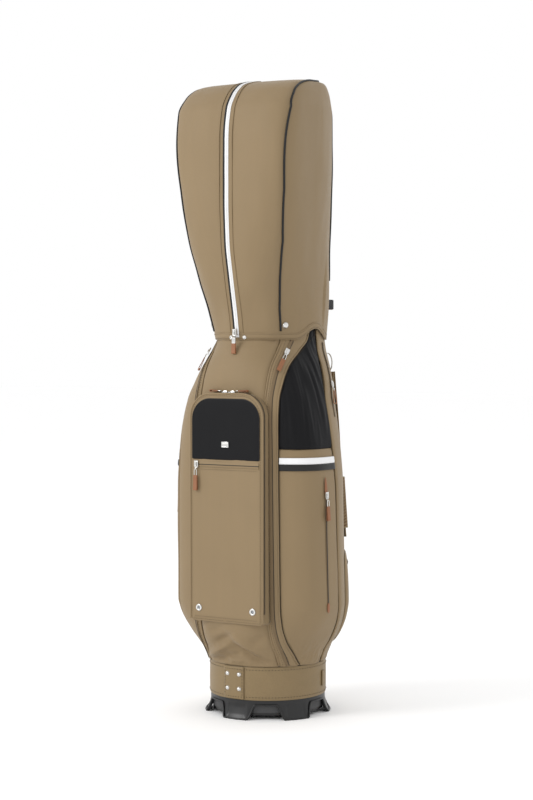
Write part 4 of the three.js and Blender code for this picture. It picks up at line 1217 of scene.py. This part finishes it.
def makeBase():
    # a moulded skirt that drops into six flared feet, edged with one raised bead
    turns = np.linspace(0, 360, 540, endpoint=False)
    step = 360 / foot["count"]
    away = np.abs((turns + step / 2) % step - step / 2)
    down = np.clip((foot["half"] + foot["slope"] - away) / foot["slope"], 0, 1)
    down = down * down * (3 - 2 * down)
    bottom = foot["arch"] * (1 - down)
    panelled = np.clip((foot["half"] - 1.5 - away) / 1.5, 0, 1)
    rows = []
    for drop in np.linspace(0, 1, 14):
        z = foot["top"] - (foot["top"] - bottom) * drop
        low = (foot["top"] - z) / foot["top"]
        sunk = 1.6 * panelled * np.clip(low * 6 - 1, 0, 1) * np.clip((1 - drop) * 8 - 0.6, 0, 1)
        radius = foot["radius"] + 2.6 * low + foot["reach"] * down * low ** 1.5 - sunk
        spot = ringPoint(1.0, turns, 0) * radius[:, None]
        rows.append(spot + np.stack([0 * z, 0 * z, z], -1))
    grid = np.array(rows[::-1])
    skirt = gridPiece("base_skirt", grid, basePlastic, closed=True)
    tidyFaces(skirt)
    thicken(skirt, 3.2)
    outward = ringPoint(1.0, turns, 0)
    bead = sweep("base_bead", grid[0] + outward * 1.3 + np.array([0, 0, 1.9]), outward,
                 [(c * foot["bead"], s * foot["bead"]) for c, s in roundSection(1.0, 10)],
                 basePlastic, loop=True)
    parts = [skirt, bead]
    # the round wall of the shell shows between the feet, with the floor plate inside it
    for radius, height, middle in ((110.4, 25.0, 24.5), (110.0, 5.0, 10.5)):
        bpy.ops.mesh.primitive_cylinder_add(vertices=128, radius=radius * mm, depth=height * mm)
        part = bpy.context.object
        part.data.transform(Matrix.Translation((0, 0, middle * mm)))
        startEdit(part)
        if height > 10:
            selectFaces(part, lambda face: abs(face.normal.z) > 0.9)
            bpy.ops.mesh.delete(type="ONLY_FACE")
        else:
            selectFaces(part, lambda face: face.normal.z < -0.9)
            bpy.ops.mesh.inset(thickness=9 * mm)
            bpy.ops.mesh.inset(thickness=3 * mm)
            bpy.ops.mesh.extrude_region_move(TRANSFORM_OT_translate={"value": (0, 0, 1.5 * mm)})
        endEdit(part)
        part.data.materials.append(basePlastic)
        if height > 10:
            thicken(part, 2.6)
        softenEdges(part, 0.5)
        parts.append(part)
    base = joinPieces("base_moulded", parts)
    smoothBelow(base, 50)
    place(base, "bag", "base_plastic", "base_moulding")


makeBelt()
makeTab()
makeKeeper()
for number in range(1, 5):
    makeDome(f"belt_rivet_cap_{number}", f"belt_rivet_{number}", "bag", 4.0, 2.4)
makeBase()
print("belt and base made")


# collar, dividers, handle --------------------------------------------------------------

def bevelledCopy(name, node, width, material, bodyName, slotName):
    copy = bpy.data.objects.new(name, frame["nodes"][node].data.copy())
    bpy.context.scene.collection.objects.link(copy)
    copy.data.materials.clear()
    shape = bmesh.new()
    shape.from_mesh(copy.data)
    bmesh.ops.remove_doubles(shape, verts=shape.verts, dist=1e-5)
    bmesh.ops.dissolve_limit(shape, angle_limit=math.radians(1), verts=shape.verts,
                             edges=shape.edges)
    shape.to_mesh(copy.data)
    shape.free()
    copy.data.materials.append(material)
    softenEdges(copy, width)
    place(copy, bodyName, slotName, node)
    return copy


def dressNodes(names, material):
    for name in names:
        data = frame["nodes"][name].data
        data.materials.clear()
        data.materials.append(material)


dressNodes(["main_tube"], tubeSheet)
dressNodes(["divider_sheets"], dividerCloth)
dressNodes(["stay_rod_left", "stay_rod_right"], stayMetal)
bevelledCopy("collar_moulded", "top_collar", 1.2, collarPlastic, "bag", "collar_plastic")
bevelledCopy("divider_bars", "divider_top", 1.2, collarPlastic, "bag", "collar_plastic")
for side in ("left", "right"):
    bevelledCopy(f"handle_bracket_moulded_{side}", f"handle_bracket_{side}", 1.0, collarPlastic,
                 "bag", "collar_plastic")

grip = {"half": 65, "start": 121.7, "end": 158, "corner": 18, "z": 813, "width": 20, "thick": 4.6}


def makeHandle():
    half, end, corner = grip["half"], grip["end"], grip["corner"]
    line = [(-half, y) for y in np.linspace(grip["start"] + 0.5, end - corner, 10)]
    for t in np.linspace(0, math.pi / 2, 12)[1:]:
        line.append((-half + corner * (1 - math.cos(t)), end - corner + corner * math.sin(t)))
    line += [(x, end) for x in np.linspace(-half + corner, half - corner, 26)[1:]]
    for t in np.linspace(math.pi / 2, 0, 12)[1:]:
        line.append((half - corner * (1 - math.cos(t)), end - corner + corner * math.sin(t)))
    line += [(half, y) for y in np.linspace(end - corner, grip["start"] + 0.5, 10)[1:]]
    path = np.array([(x, y, grip["z"]) for x, y in line])
    up = np.tile([0.0, 0.0, 1.0], (len(path), 1))
    half, thick = grip["width"] / 2, grip["thick"] / 2
    section = [(-thick, -half + 1), (0, -half), (thick, -half + 1), (thick, half - 1), (0, half),
               (-thick, half - 1)]
    band = sweep("handle_webbing", path, up, section, blackWebbing)
    place(band, "handle", "black_webbing", "carry_handle")
    middle = path[15:-15]
    wide = [(c * 1.35, s * 1.04) for c, s in section]
    place(sweep("handle_grip_wrap", middle, up[15:-15], wide, saddleLeather),
          "handle", "saddle_leather")
    for rise in (-6.5, 6.5):
        for face in (-1, 1):
            row = middle + np.array([0, 0, rise]) + np.array([0, 1, 0]) * face * thick * 1.35
            away = np.tile([0.0, float(face), 0.0], (len(middle), 1))
            name = f"handle_stitches_{'low' if rise < 0 else 'high'}_{'out' if face > 0 else 'in'}"
            inner = np.abs(middle[:, 0]) < grip["half"] - grip["corner"]
            place(stitchRow(name, row[inner], away[inner], tanThread), "handle", "saddle_leather")


makeHandle()
print("collar and handle made")


# zip sliders and pulls -----------------------------------------------------------------

slider = {"length": 14, "width": 9, "thick": 4, "face": 5.2, "hinge": 9}
pulls = {
    "hood": (32, "block"), "arch_left": (26, "loop"), "arch_right": (26, "loop"),
    "face": (42, "loop"), "garment_left": (40, "loop"), "garment_right": (40, "loop"),
    "side_left": (40, "loop"), "side_right": (40, "loop"),
    "rear_left": (32, "thin"), "rear_right": (32, "thin"),
}


def zipFrame(name):
    # -Y looks out of the cloth and +Z runs up it, with the slider's middle at the origin
    hinge = joints[f"{name}_pull_swing"]
    across = -Vector(hinge["axis"]).normalized()
    up = -Vector(joints[f"{name}_zip"]["axis"]).normalized()
    if name in ("hood", "face"):
        up = Vector((0, 0, 1))
    outward = across.cross(up).normalized()
    origin = Vector(hinge["pos_m"]) - outward * slider["face"] * mm + up * slider["hinge"] * mm
    turn = Matrix((across, -outward, up)).transposed().to_4x4()
    return Matrix.Translation(origin) @ turn


def modelSlider():
    # a cast slider: waisted body, guides along both sides and a bridge over the top
    width, length = slider["width"], slider["length"]
    bpy.ops.mesh.primitive_cube_add(size=1)
    cast = bpy.context.object
    cast.data.transform(Matrix.Translation((0, -2.4 * mm, 0))
                        @ Matrix.Diagonal((width * mm, 2.2 * mm, length * mm, 1)))
    startEdit(cast)
    bpy.ops.mesh.select_all(action="SELECT")
    bpy.ops.mesh.subdivide(number_cuts=3)
    selectFaces(cast, lambda face: face.normal.z < -0.9)
    bpy.ops.transform.resize(value=(0.62, 1, 1), center_override=(0, 0, 0))
    selectFaces(cast, lambda face: face.normal.y < -0.9)
    bpy.ops.mesh.inset(thickness=0.9 * mm)
    bpy.ops.mesh.extrude_region_move(TRANSFORM_OT_translate={"value": (0, 0.35 * mm, 0)})
    endEdit(cast)
    bpy.ops.mesh.primitive_cube_add(size=1)
    bridge = bpy.context.object
    bridge.data.transform(Matrix.Translation((0, -4.3 * mm, -0.5 * mm))
                          @ Matrix.Diagonal((2.6 * mm, 1.7 * mm, 9.5 * mm, 1)))
    startEdit(bridge)
    selectFaces(bridge, lambda face: face.normal.y > 0.9)
    bpy.ops.mesh.inset(thickness=0.4 * mm)
    selectFaces(bridge, lambda face: face.normal.y < -0.9)
    bpy.ops.transform.resize(value=(0.8, 1, 0.75), center_override=(0, 0, 0))
    endEdit(bridge)
    whole = joinPieces("sliderModel", [cast, bridge])
    softenEdges(whole, 0.45, 3)
    whole.data.materials.append(nickel)
    return whole


def modelLink(length, width):
    # a bent wire link from the slider's bridge to the leather
    half, wire = width / 2, 0.85
    line = []
    for t in np.linspace(0, 2 * math.pi, 40, endpoint=False):
        c, s = math.cos(t), math.sin(t)
        line.append((half * np.sign(c) * abs(c) ** 0.55, 0,
                     -length / 2 + length / 2 * np.sign(s) * abs(s) ** 0.55))
    away = np.tile([0.0, -1.0, 0.0], (40, 1))
    return sweep("linkModel", np.array(line), away, roundSection(wire), nickel, loop=True)


def modelTab(length, width, gap, start):
    # a strap of leather folded through the link and sewn to itself
    line = []
    top, low = -start, -length + gap
    for z in np.linspace(top, low, 10):
        spread = gap * (0.35 + 0.65 * np.clip((top - z) / (top - low), 0, 1) ** 1.5)
        line.append((0, -spread, z))
    for t in np.linspace(0, math.pi, 10)[1:-1]:
        line.append((0, -gap * math.cos(t), low - gap * math.sin(t)))
    for z in np.linspace(low, top, 10):
        spread = gap * (0.35 + 0.65 * np.clip((top - z) / (top - low), 0, 1) ** 1.5)
        line.append((0, spread, z))
    for t in np.linspace(0, math.pi, 6)[1:-1]:
        line.append((0, gap * 0.35 * math.cos(t), top + gap * 0.7 * math.sin(t)))
    line = np.array(line)
    middle = np.array([0, 0, (top + low) / 2])
    away = line - middle
    away[:, 2] *= 0.02
    half, thick = width / 2, 0.55
    section = [(-half, -thick), (half, -thick), (half, thick), (-half, thick)]
    tab = sweep("tabModel", line, away, section, saddleLeather, loop=True)
    softenEdges(tab, 0.3, 2)
    return tab


def modelPull(name):
    length, style = pulls[name]
    parts = []
    if style == "block":
        # a square cast puller, then a short wide leather tab
        bpy.ops.mesh.primitive_cube_add(size=1)
        block = bpy.context.object
        block.data.transform(Matrix.Translation((0, 0, -6.2 * mm))
                             @ Matrix.Diagonal((8.2 * mm, 2.4 * mm, 11.5 * mm, 1)))
        startEdit(block)
        selectFaces(block, lambda face: abs(face.normal.y) > 0.9)
        bpy.ops.mesh.inset(thickness=1.2 * mm)
        bpy.ops.transform.resize(value=(1, 0.72, 1), center_override=(0, 0, -6.2 * mm))
        endEdit(block)
        softenEdges(block, 0.5)
        block.data.materials.append(nickel)
        parts.append((block, "metal"))
        parts.append((modelTab(length - 0.5, 9.0, 1.5, 12.6), "leather"))
    elif style == "loop":
        link = length * 0.36
        parts.append((modelLink(link, 5.2), "metal"))
        parts.append((modelTab(length - 0.5, 8.4, 1.75, link - 1.5), "leather"))
    else:
        parts.append((modelLink(5.5, 4.2), "metal"))
        parts.append((modelTab(length - 0.5, 3.4, 3.2, 4.5), "leather"))
    for part, _ in parts:
        part.data.transform(Matrix.Translation((0, -slider["face"] * mm, -slider["hinge"] * mm)))
    return parts


def makeZips():
    model = modelSlider()
    for name in pulls:
        spot = zipFrame(name)
        copy = bpy.data.objects.new(f"{name}_slider_cast", model.data.copy())
        bpy.context.scene.collection.objects.link(copy)
        copy.data.transform(spot)
        place(copy, f"{name}_slider", "nickel", f"{name}_slider")
        for part, kind in modelPull(name):
            part.name = f"{name}_pull_{kind}"
            part.data.name = part.name
            part.data.transform(spot)
            slotName = "nickel" if kind == "metal" else "saddle_leather"
            nodes = (f"{name}_pull",) if kind == "leather" else ()
            place(part, f"{name}_pull", slotName, *nodes)
    bpy.data.objects.remove(model)


makeZips()
print("zips fitted")


# shoulder strap ------------------------------------------------------------------------

strap = {"foot": (88, 134, 340), "top": (60, 138, 675), "width": 50, "out": (0.53, 0.85, 0),
         "sleeveFrom": 18, "sleeveLength": 104,
         "lacePitch": 6.2}


def strapFrame():
    # its two ends, then the ways up it, out of its face and across it
    a, b = Vector(strap["foot"]), Vector(strap["top"])
    up = (b - a).normalized()
    out = Vector(strap["out"]).normalized()
    across = out.cross(up).normalized()
    out = up.cross(across).normalized()
    if out.dot(Vector(strap["out"])) < 0:
        out = -out
    return a, b, up, out, across


def makeStrap():
    a, b, up, out, across = strapFrame()
    steps = np.linspace(0, 1, 70)
    layers = (("outer", 1.9, 2.3, tanTwill, "tan_twill"),
              ("core", -0.2, 1.5, blackTwill, "black_twill"),
              ("inner", -2.4, 2.3, tanTwill, "tan_twill"))
    for name, lift, thick, material, slotName in layers:
        wave = 0.8 * np.sin(steps * 9 + lift)
        path = np.array([a + (b - a) * float(t) + out * float(lift + w)
                         for t, w in zip(steps, wave)])
        away = np.tile(np.array(out), (len(path), 1))
        width = strap["width"] - (4 if name == "core" else 0)
        half, edge = width / 2, thick * 0.45
        section = [(-half, -thick / 2 + edge), (-half + edge, -thick / 2),
                   (half - edge, -thick / 2), (half, -thick / 2 + edge), (half, thick / 2 - edge), (half - edge, thick / 2),
                   (0, thick / 2 + 0.3), (-half + edge, thick / 2), (-half, thick / 2 - edge)]
        layer = sweep(f"strap_{name}", path, away, section, material)
        nodes = ("shoulder_strap",) if name == "outer" else ()
        place(layer, "bag", slotName, *nodes)
    start, size = strap["sleeveFrom"], strap["sleeveLength"]
    share = np.linspace(0, 1, 40)
    path = np.array([a + up * (start + size * float(t)) for t in share])
    away = np.tile(np.array(out), (len(path), 1))
    half, thick, wall = strap["width"] / 2 + 0.6, 5.4, 2.0
    outer = [(-half - wall, -thick + 1), (-half - wall + 1, -thick - wall),
             (half + wall - 1, -thick - wall),
             (half + wall, -thick + 1), (half + wall, thick - 1), (half + wall - 1, thick + wall),
             (0, thick + wall + 0.6), (-half - wall + 1, thick + wall), (-half - wall, thick - 1)]
    sleeve = sweep("sleeve_leather", path, away, outer, tanLeather)
    softenEdges(sleeve, 0.8)
    place(sleeve, "bag", "tan_leather", "strap_leather_sleeve")
    makeLacing(a, up, out, across, half + wall, thick)


def makeLacing(a, up, out, across, half, thick):
    # slanted whip stitches over the sleeve's two edges
    pieces = []
    first = strap["sleeveFrom"] + 5
    last = strap["sleeveFrom"] + strap["sleeveLength"] - 5
    for side in (-1, 1):
        for z in np.arange(first, last, strap["lacePitch"]):
            spots = []
            for t in np.linspace(-1, 1, 9):
                lean = up * float(z + 3.2 * t)
                bulge = math.cos(t * math.pi / 2) ** 0.5 if abs(t) < 1 else 0
                spots.append(a + lean + across * float(side * (half - 3.4 + 4.0 * bulge))
                             + out * float(t * (thick + 2.2)))
            path = np.array(spots)
            away = np.tile(np.array(across * side), (9, 1))
            pieces.append(sweep("lace", path, away, roundSection(0.95, 6), saddleDark))
    lacing = joinPieces("sleeve_lacing", pieces)
    place(lacing, "bag", "saddle_leather")


def makeRing():
    bpy.ops.mesh.primitive_torus_add(major_radius=18 * mm, minor_radius=1.5 * mm,
                                     major_segments=64, minor_segments=14)
    ring = bpy.context.object
    ring.name = "strap_ring_bent"
    low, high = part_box("strap_ring_upper")
    middle = (low + high) / 2
    _, _, up, out, across = strapFrame()
    turn = Matrix((across, up, out)).transposed().to_4x4()
    if turn.to_3x3().determinant() < 0:
        turn = Matrix((-across, up, out)).transposed().to_4x4()
    ring.data.transform(Matrix.Translation(middle) @ turn)
    smoothAll(ring)
    tidyFaces(ring)
    ring.data.materials.append(nickel)
    place(ring, "bag", "nickel", "strap_ring_upper")


makeRing()
makeStrap()
print("strap made")


# hood ----------------------------------------------------------------------------------

hood = {"arch": 22, "slotHalf": 76, "slotTop": 847, "wall": 2.4, "hemWidth": 13,
        "pipe": 2.2, "zipWidth": 8.5}
stripRows = [(741, 76), (801, 83), (865, 95), (929, 108), (1025, 119), (1121, 126), (1185, 130),
             (1250, 120)]


def stripHalf(z):
    return np.interp(z, [row[0] for row in stripRows], [row[1] for row in stripRows])


def hemRise(angle):
    away = np.minimum(np.abs(np.mod(angle + 180, 360) - 180), np.abs(np.mod(angle, 360) - 180)) / 28
    return np.where(away < 1, hood["arch"] * np.cos(np.minimum(away, 1) * math.pi / 2) ** 2, 0)


def hoodPush(points):
    # pulled in along the piping and the zip, with a few slack dents between
    z, x, y = points[..., 2], points[..., 0], points[..., 1]
    front = y < -20
    seam = np.abs(np.abs(x) - stripHalf(z))
    push = -1.8 * np.exp(-(seam / 6) ** 2) * front
    push = push - 1.2 * np.exp(-(np.abs(x) / 8) ** 2) * front
    calm = np.clip((z - bag["hem"]) / 50, 0, 1)
    stretched = points * np.array([1, 1, 0.4])
    push = push + 2.2 * calm * wander(stretched, 70.0, 4.4)
    push = push + 0.9 * calm * wander(stretched, 28.0, 9.1)
    for sx, sz, width, deep in ((-38, 785, 24, -5.0), (38, 795, 26, -4.5), (-60, 860, 30, 3.0),
                                (66, 775, 14, 2.5), (30, 905, 40, 2.5), (110, 830, 34, -3.5)):
        near = ((x - sx) / width) ** 2 + ((z - sz) / (width * 1.7)) ** 2
        push = push + deep * np.exp(-near) * (y < 40)
    return push * np.clip((1252 - z) / 20, 0, 1)


def hoodSkin():
    cols = 260
    angle = -90 + np.arange(cols) * 360 / cols
    z = np.concatenate([np.linspace(bag["hem"], 760, 8), np.linspace(765, 1185, 96),
                        np.linspace(1189, bag["hoodTop"], 34)])
    lift = np.clip(1 - (z - bag["hem"]) / 70, 0, 1)
    heights = z[:, None] + hemRise(angle)[None] * lift[:, None]
    points = hoodLine.point(z[:, None] + 0 * heights, angle[None] + 0 * heights)
    tilt = hoodLine.point(heights, angle[None] + 0 * heights)
    points = np.where((z < 812)[:, None, None], tilt, points)
    crown = [points[-1]]
    centre = np.array([0.0, 8.0, 0])
    for shrink, rise in ((0.86, 0.9), (0.66, 1.8), (0.42, 2.3), (0.18, 2.5)):
        ring = points[-1] * 1.0
        ring[:, :2] = centre[:2] + (ring[:, :2] - centre[:2]) * shrink
        ring[:, 2] += rise
        crown.append(ring)
    points = np.concatenate([points, np.array(crown[1:])])
    normal = normalsOf(np.concatenate([points[:, -1:], points, points[:, :1]], 1))[:, 1:-1]
    push = hoodPush(points)
    points[:-5] = points[:-5] + (normal * push[..., None])[:-5]
    return points


def makeHood():
    points = hoodSkin()
    shell = gridPiece("hood_cloth", points, tanTwill, closed=True)
    shape = bmesh.new()
    shape.from_mesh(shell.data)
    shape.verts.ensure_lookup_table()
    count = points.shape[1]
    last = [shape.verts[len(shape.verts) - count + i] for i in range(count)]
    shape.faces.new(last)
    half, top = hood["slotHalf"] * mm, hood["slotTop"] * mm
    for co, no in (((half, 0, 0), (1, 0, 0)), ((-half, 0, 0), (1, 0, 0)), ((0, 0, top), (0, 0, 1))):
        near = [f for f in shape.faces if f.calc_center_median().y > 0.05
                and f.calc_center_median().z < top + 0.02]
        geom = list({v for f in near for v in f.verts}) + list({e for f in near for e in f.edges})
        geom += near
        bmesh.ops.bisect_plane(shape, geom=geom, plane_co=co, plane_no=no, dist=1e-6)
    gone = [f for f in shape.faces if f.calc_center_median().y > 0.05
            and abs(f.calc_center_median().x) < half and f.calc_center_median().z < top]
    bmesh.ops.delete(shape, geom=gone, context="FACES")
    bmesh.ops.recalc_face_normals(shape, faces=shape.faces)
    shape.to_mesh(shell.data)
    shape.free()
    shell.data.materials.append(tanLining)
    wall = shell.modifiers.new("wall", "SOLIDIFY")
    wall.thickness = hood["wall"] * mm
    wall.offset = -1
    wall.material_offset = 1
    applyModifiers(shell)
    place(shell, "hood", "tan_twill", "hood_shell")
    makePiping()
    makeHoodZip()
    makeHem()


def onHood(z, angle, lift=0.0):
    # spots on the finished skin, pushed as the skin is
    spots = hoodLine.point(z, angle)
    step = 1.0
    side = hoodLine.point(z, angle + step) - hoodLine.point(z, angle - step)
    up = hoodLine.point(z + 1, angle) - hoodLine.point(z - 1, angle)
    normal = np.cross(side, up)
    normal /= np.maximum(np.linalg.norm(normal, axis=1, keepdims=True), 1e-9)
    return spots + normal * (hoodPush(spots) + lift)[:, None], normal


def makePiping():
    for side, sign in (("right", 1), ("left", -1)):
        z = np.concatenate([np.linspace(758, 1185, 110), np.linspace(1188, 1246, 40)])
        angle = hoodLine.angleAtX(z, sign * stripHalf(z))
        spots, away = onHood(z, angle, 0.9)
        # then over the crown's edge and down the back corner
        turn = 45.0 if sign > 0 else 135.0
        backSpots, backAway = onHood(np.linspace(1236, 860, 90), np.full(90, turn), 0.9)
        spots = np.vstack([spots, backSpots])
        away = np.vstack([away, backAway])
        pipe = sweep(f"hood_piping_{side}", spots, away, roundSection(hood["pipe"]), pipingCord)
        place(pipe, "hood", "black_twill")


def makeHoodZip():
    z = np.concatenate([np.linspace(746, 1185, 110), np.linspace(1188, 1247, 30)])

    def shifted(x):
        angle = hoodLine.angleAtX(z, np.full(len(z), float(x)))
        return onHood(z, angle, 0.5)

    for name, x, section, material, slotName in (
            ("tape", 1.6, flatSection(hood["zipWidth"], 0.7), whiteTape, "stripe_tape"),
            ("piping", -4.6, roundSection(1.9), pipingCord, "black_twill"),
            ("welt_left", -14.5, roundSection(0.9), tanTwill, "tan_twill"),
            ("welt_right", 14.5, roundSection(0.9), tanTwill, "tan_twill")):
        line, out = shifted(x)
        place(sweep(f"hood_zip_{name}", line, out, section, material), "hood", slotName)
    line, out = shifted(1.6)
    makeTeeth(line, out)


def makeTeeth(line, out):
    # moulded teeth that mesh along the middle of the white tape
    run = runAlong(line)
    points, faces = [], []
    for n, s in enumerate(np.arange(2, run[-1] - 2, 1.6)):
        at = np.array([np.interp(s, run, line[:, k]) for k in range(3)])
        ahead = np.array([np.interp(s + 1, run, line[:, k]) for k in range(3)])
        away = np.array([np.interp(s, run, out[:, k]) for k in range(3)])
        up = (ahead - at) / np.linalg.norm(ahead - at)
        across = np.cross(up, away)
        across /= np.linalg.norm(across)
        side = 1 if n % 2 else -1
        base = len(points)
        for o, a0, a1, half in ((0.5, -0.6, 2.4, 0.6), (1.5, -0.4, 2.1, 0.45)):
            for a, u in ((a0, -half), (a1, -half), (a1, half), (a0, half)):
                points.append(at + across * a * side + up * u + away * o)
        for face in ((0, 1, 2, 3), (4, 5, 6, 7), (0, 1, 5, 4), (1, 2, 6, 5), (2, 3, 7, 6),
                     (3, 0, 4, 7)):
            faces.append(tuple(base + i for i in face))
    teeth = tidyFaces(newMesh("hood_zip_teeth", points, faces, smooth=False))
    teeth.data.materials.append(toothPlastic)
    place(teeth, "hood", "stripe_tape")


def makeHem():
    # a turned-up hem with two rows of stitches, broken where the handle comes out
    turns = np.linspace(-210, 30, 300)
    low = bag["hem"] + hemRise(turns)
    spots, away = onHood(low + 6.5, turns, 0.0)
    place(sweep("hood_hem_fold", spots, away, flatSection(hood["hemWidth"], 1.0, -0.2), tanTwill),
          "hood", "tan_twill")
    for row, rise in (("lower", 3.0), ("upper", 10.5)):
        spots, away = onHood(low + rise, turns, 0.8)
        place(stitchRow(f"hood_hem_stitches_{row}", spots, away, darkThread), "hood", "tan_twill")


def makeSnapTab():
    # two small press studs beside the zip's foot
    for side, x in (("left", -13.0), ("right", 17.0)):
        z = np.array([746.0, 746.0, 746.0])
        angle = hoodLine.angleAtX(z, np.array([x - 1, x, x + 1]))
        spots, away = onHood(z, angle, 1.4)
        bpy.ops.mesh.primitive_torus_add(major_radius=2.9 * mm, minor_radius=1.1 * mm,
                                         major_segments=28, minor_segments=10)
        stud = bpy.context.object
        stud.name = f"hood_stud_{side}"
        bpy.ops.mesh.primitive_uv_sphere_add(segments=20, ring_count=10, radius=1.9 * mm)
        core = bpy.context.object
        core.data.transform(Matrix.Diagonal((1, 1, 0.5, 1)))
        stud = joinPieces(f"hood_stud_{side}", [stud, core])
        out = Vector(away[1])
        turn = out.to_track_quat("Z", "Y").to_matrix().to_4x4()
        stud.data.transform(Matrix.Translation(Vector(spots[1]) * mm) @ turn)
        smoothAll(stud)
        stud.data.materials.clear()
        stud.data.materials.append(nickel)
        place(stud, "hood", "nickel")


makeHood()
makeSnapTab()
for side in ("left", "right"):
    makeDome(f"hood_snap_cap_{side}", f"hood_snap_{side}", "hood", 5.4, 2.6)
print("hood made")


# floor, light, camera ------------------------------------------------------------------

studio = {
    "azimuth": 32.0, "distance": 3.7, "height": 0.741, "pitch": -1.86, "yaw": 0.045, "lens": 83.3,
    # each lamp's place, watts and size
    "lights": (("key", (-1.9, -3.0, 2.3), 58, 1.4), ("back", (1.2, 3.2, 2.6), 10, 2.4)),
    "aim": (0, 0, 0.65),
}


def makeStudio():
    bpy.ops.mesh.primitive_plane_add(size=40)
    floor = bpy.context.object
    floor.name = "studio_floor"
    material, _, shader = newMaterial("paleFloor", Roughness=0.9)
    shader.inputs["Base Color"].default_value = linear("#ffffff")
    floor.data.materials.append(material)
    world = bpy.data.worlds.new("studio")
    bpy.context.scene.world = world
    world.use_nodes = True
    world.node_tree.nodes["Background"].inputs["Color"].default_value = linear("#ffffff")
    world.node_tree.nodes["Background"].inputs["Strength"].default_value = 1.0
    for name, spot, power, size in studio["lights"]:
        lamp = bpy.data.lights.new(name, "AREA")
        lamp.energy = power
        lamp.size = size
        holder = bpy.data.objects.new(name, lamp)
        bpy.context.scene.collection.objects.link(holder)
        holder.location = spot
        aim = Vector(studio["aim"]) - Vector(spot)
        holder.rotation_euler = aim.to_track_quat("-Z", "Y").to_euler()
    eye = bpy.data.cameras.new("camera")
    eye.lens = studio["lens"]
    camera = bpy.data.objects.new("camera", eye)
    bpy.context.scene.collection.objects.link(camera)
    turn = math.radians(studio["azimuth"])
    spot = Vector((math.sin(turn), -math.cos(turn), 0)) * studio["distance"]
    camera.location = (spot.x, spot.y, studio["height"])
    camera.rotation_euler = (math.radians(90 + studio["pitch"]), 0,
                             turn + math.radians(studio["yaw"]))
    bpy.context.scene.camera = camera
    bpy.context.scene.view_settings.view_transform = "Standard"


makeStudio()
for thing in bpy.data.objects:
    thing.select_set(False)
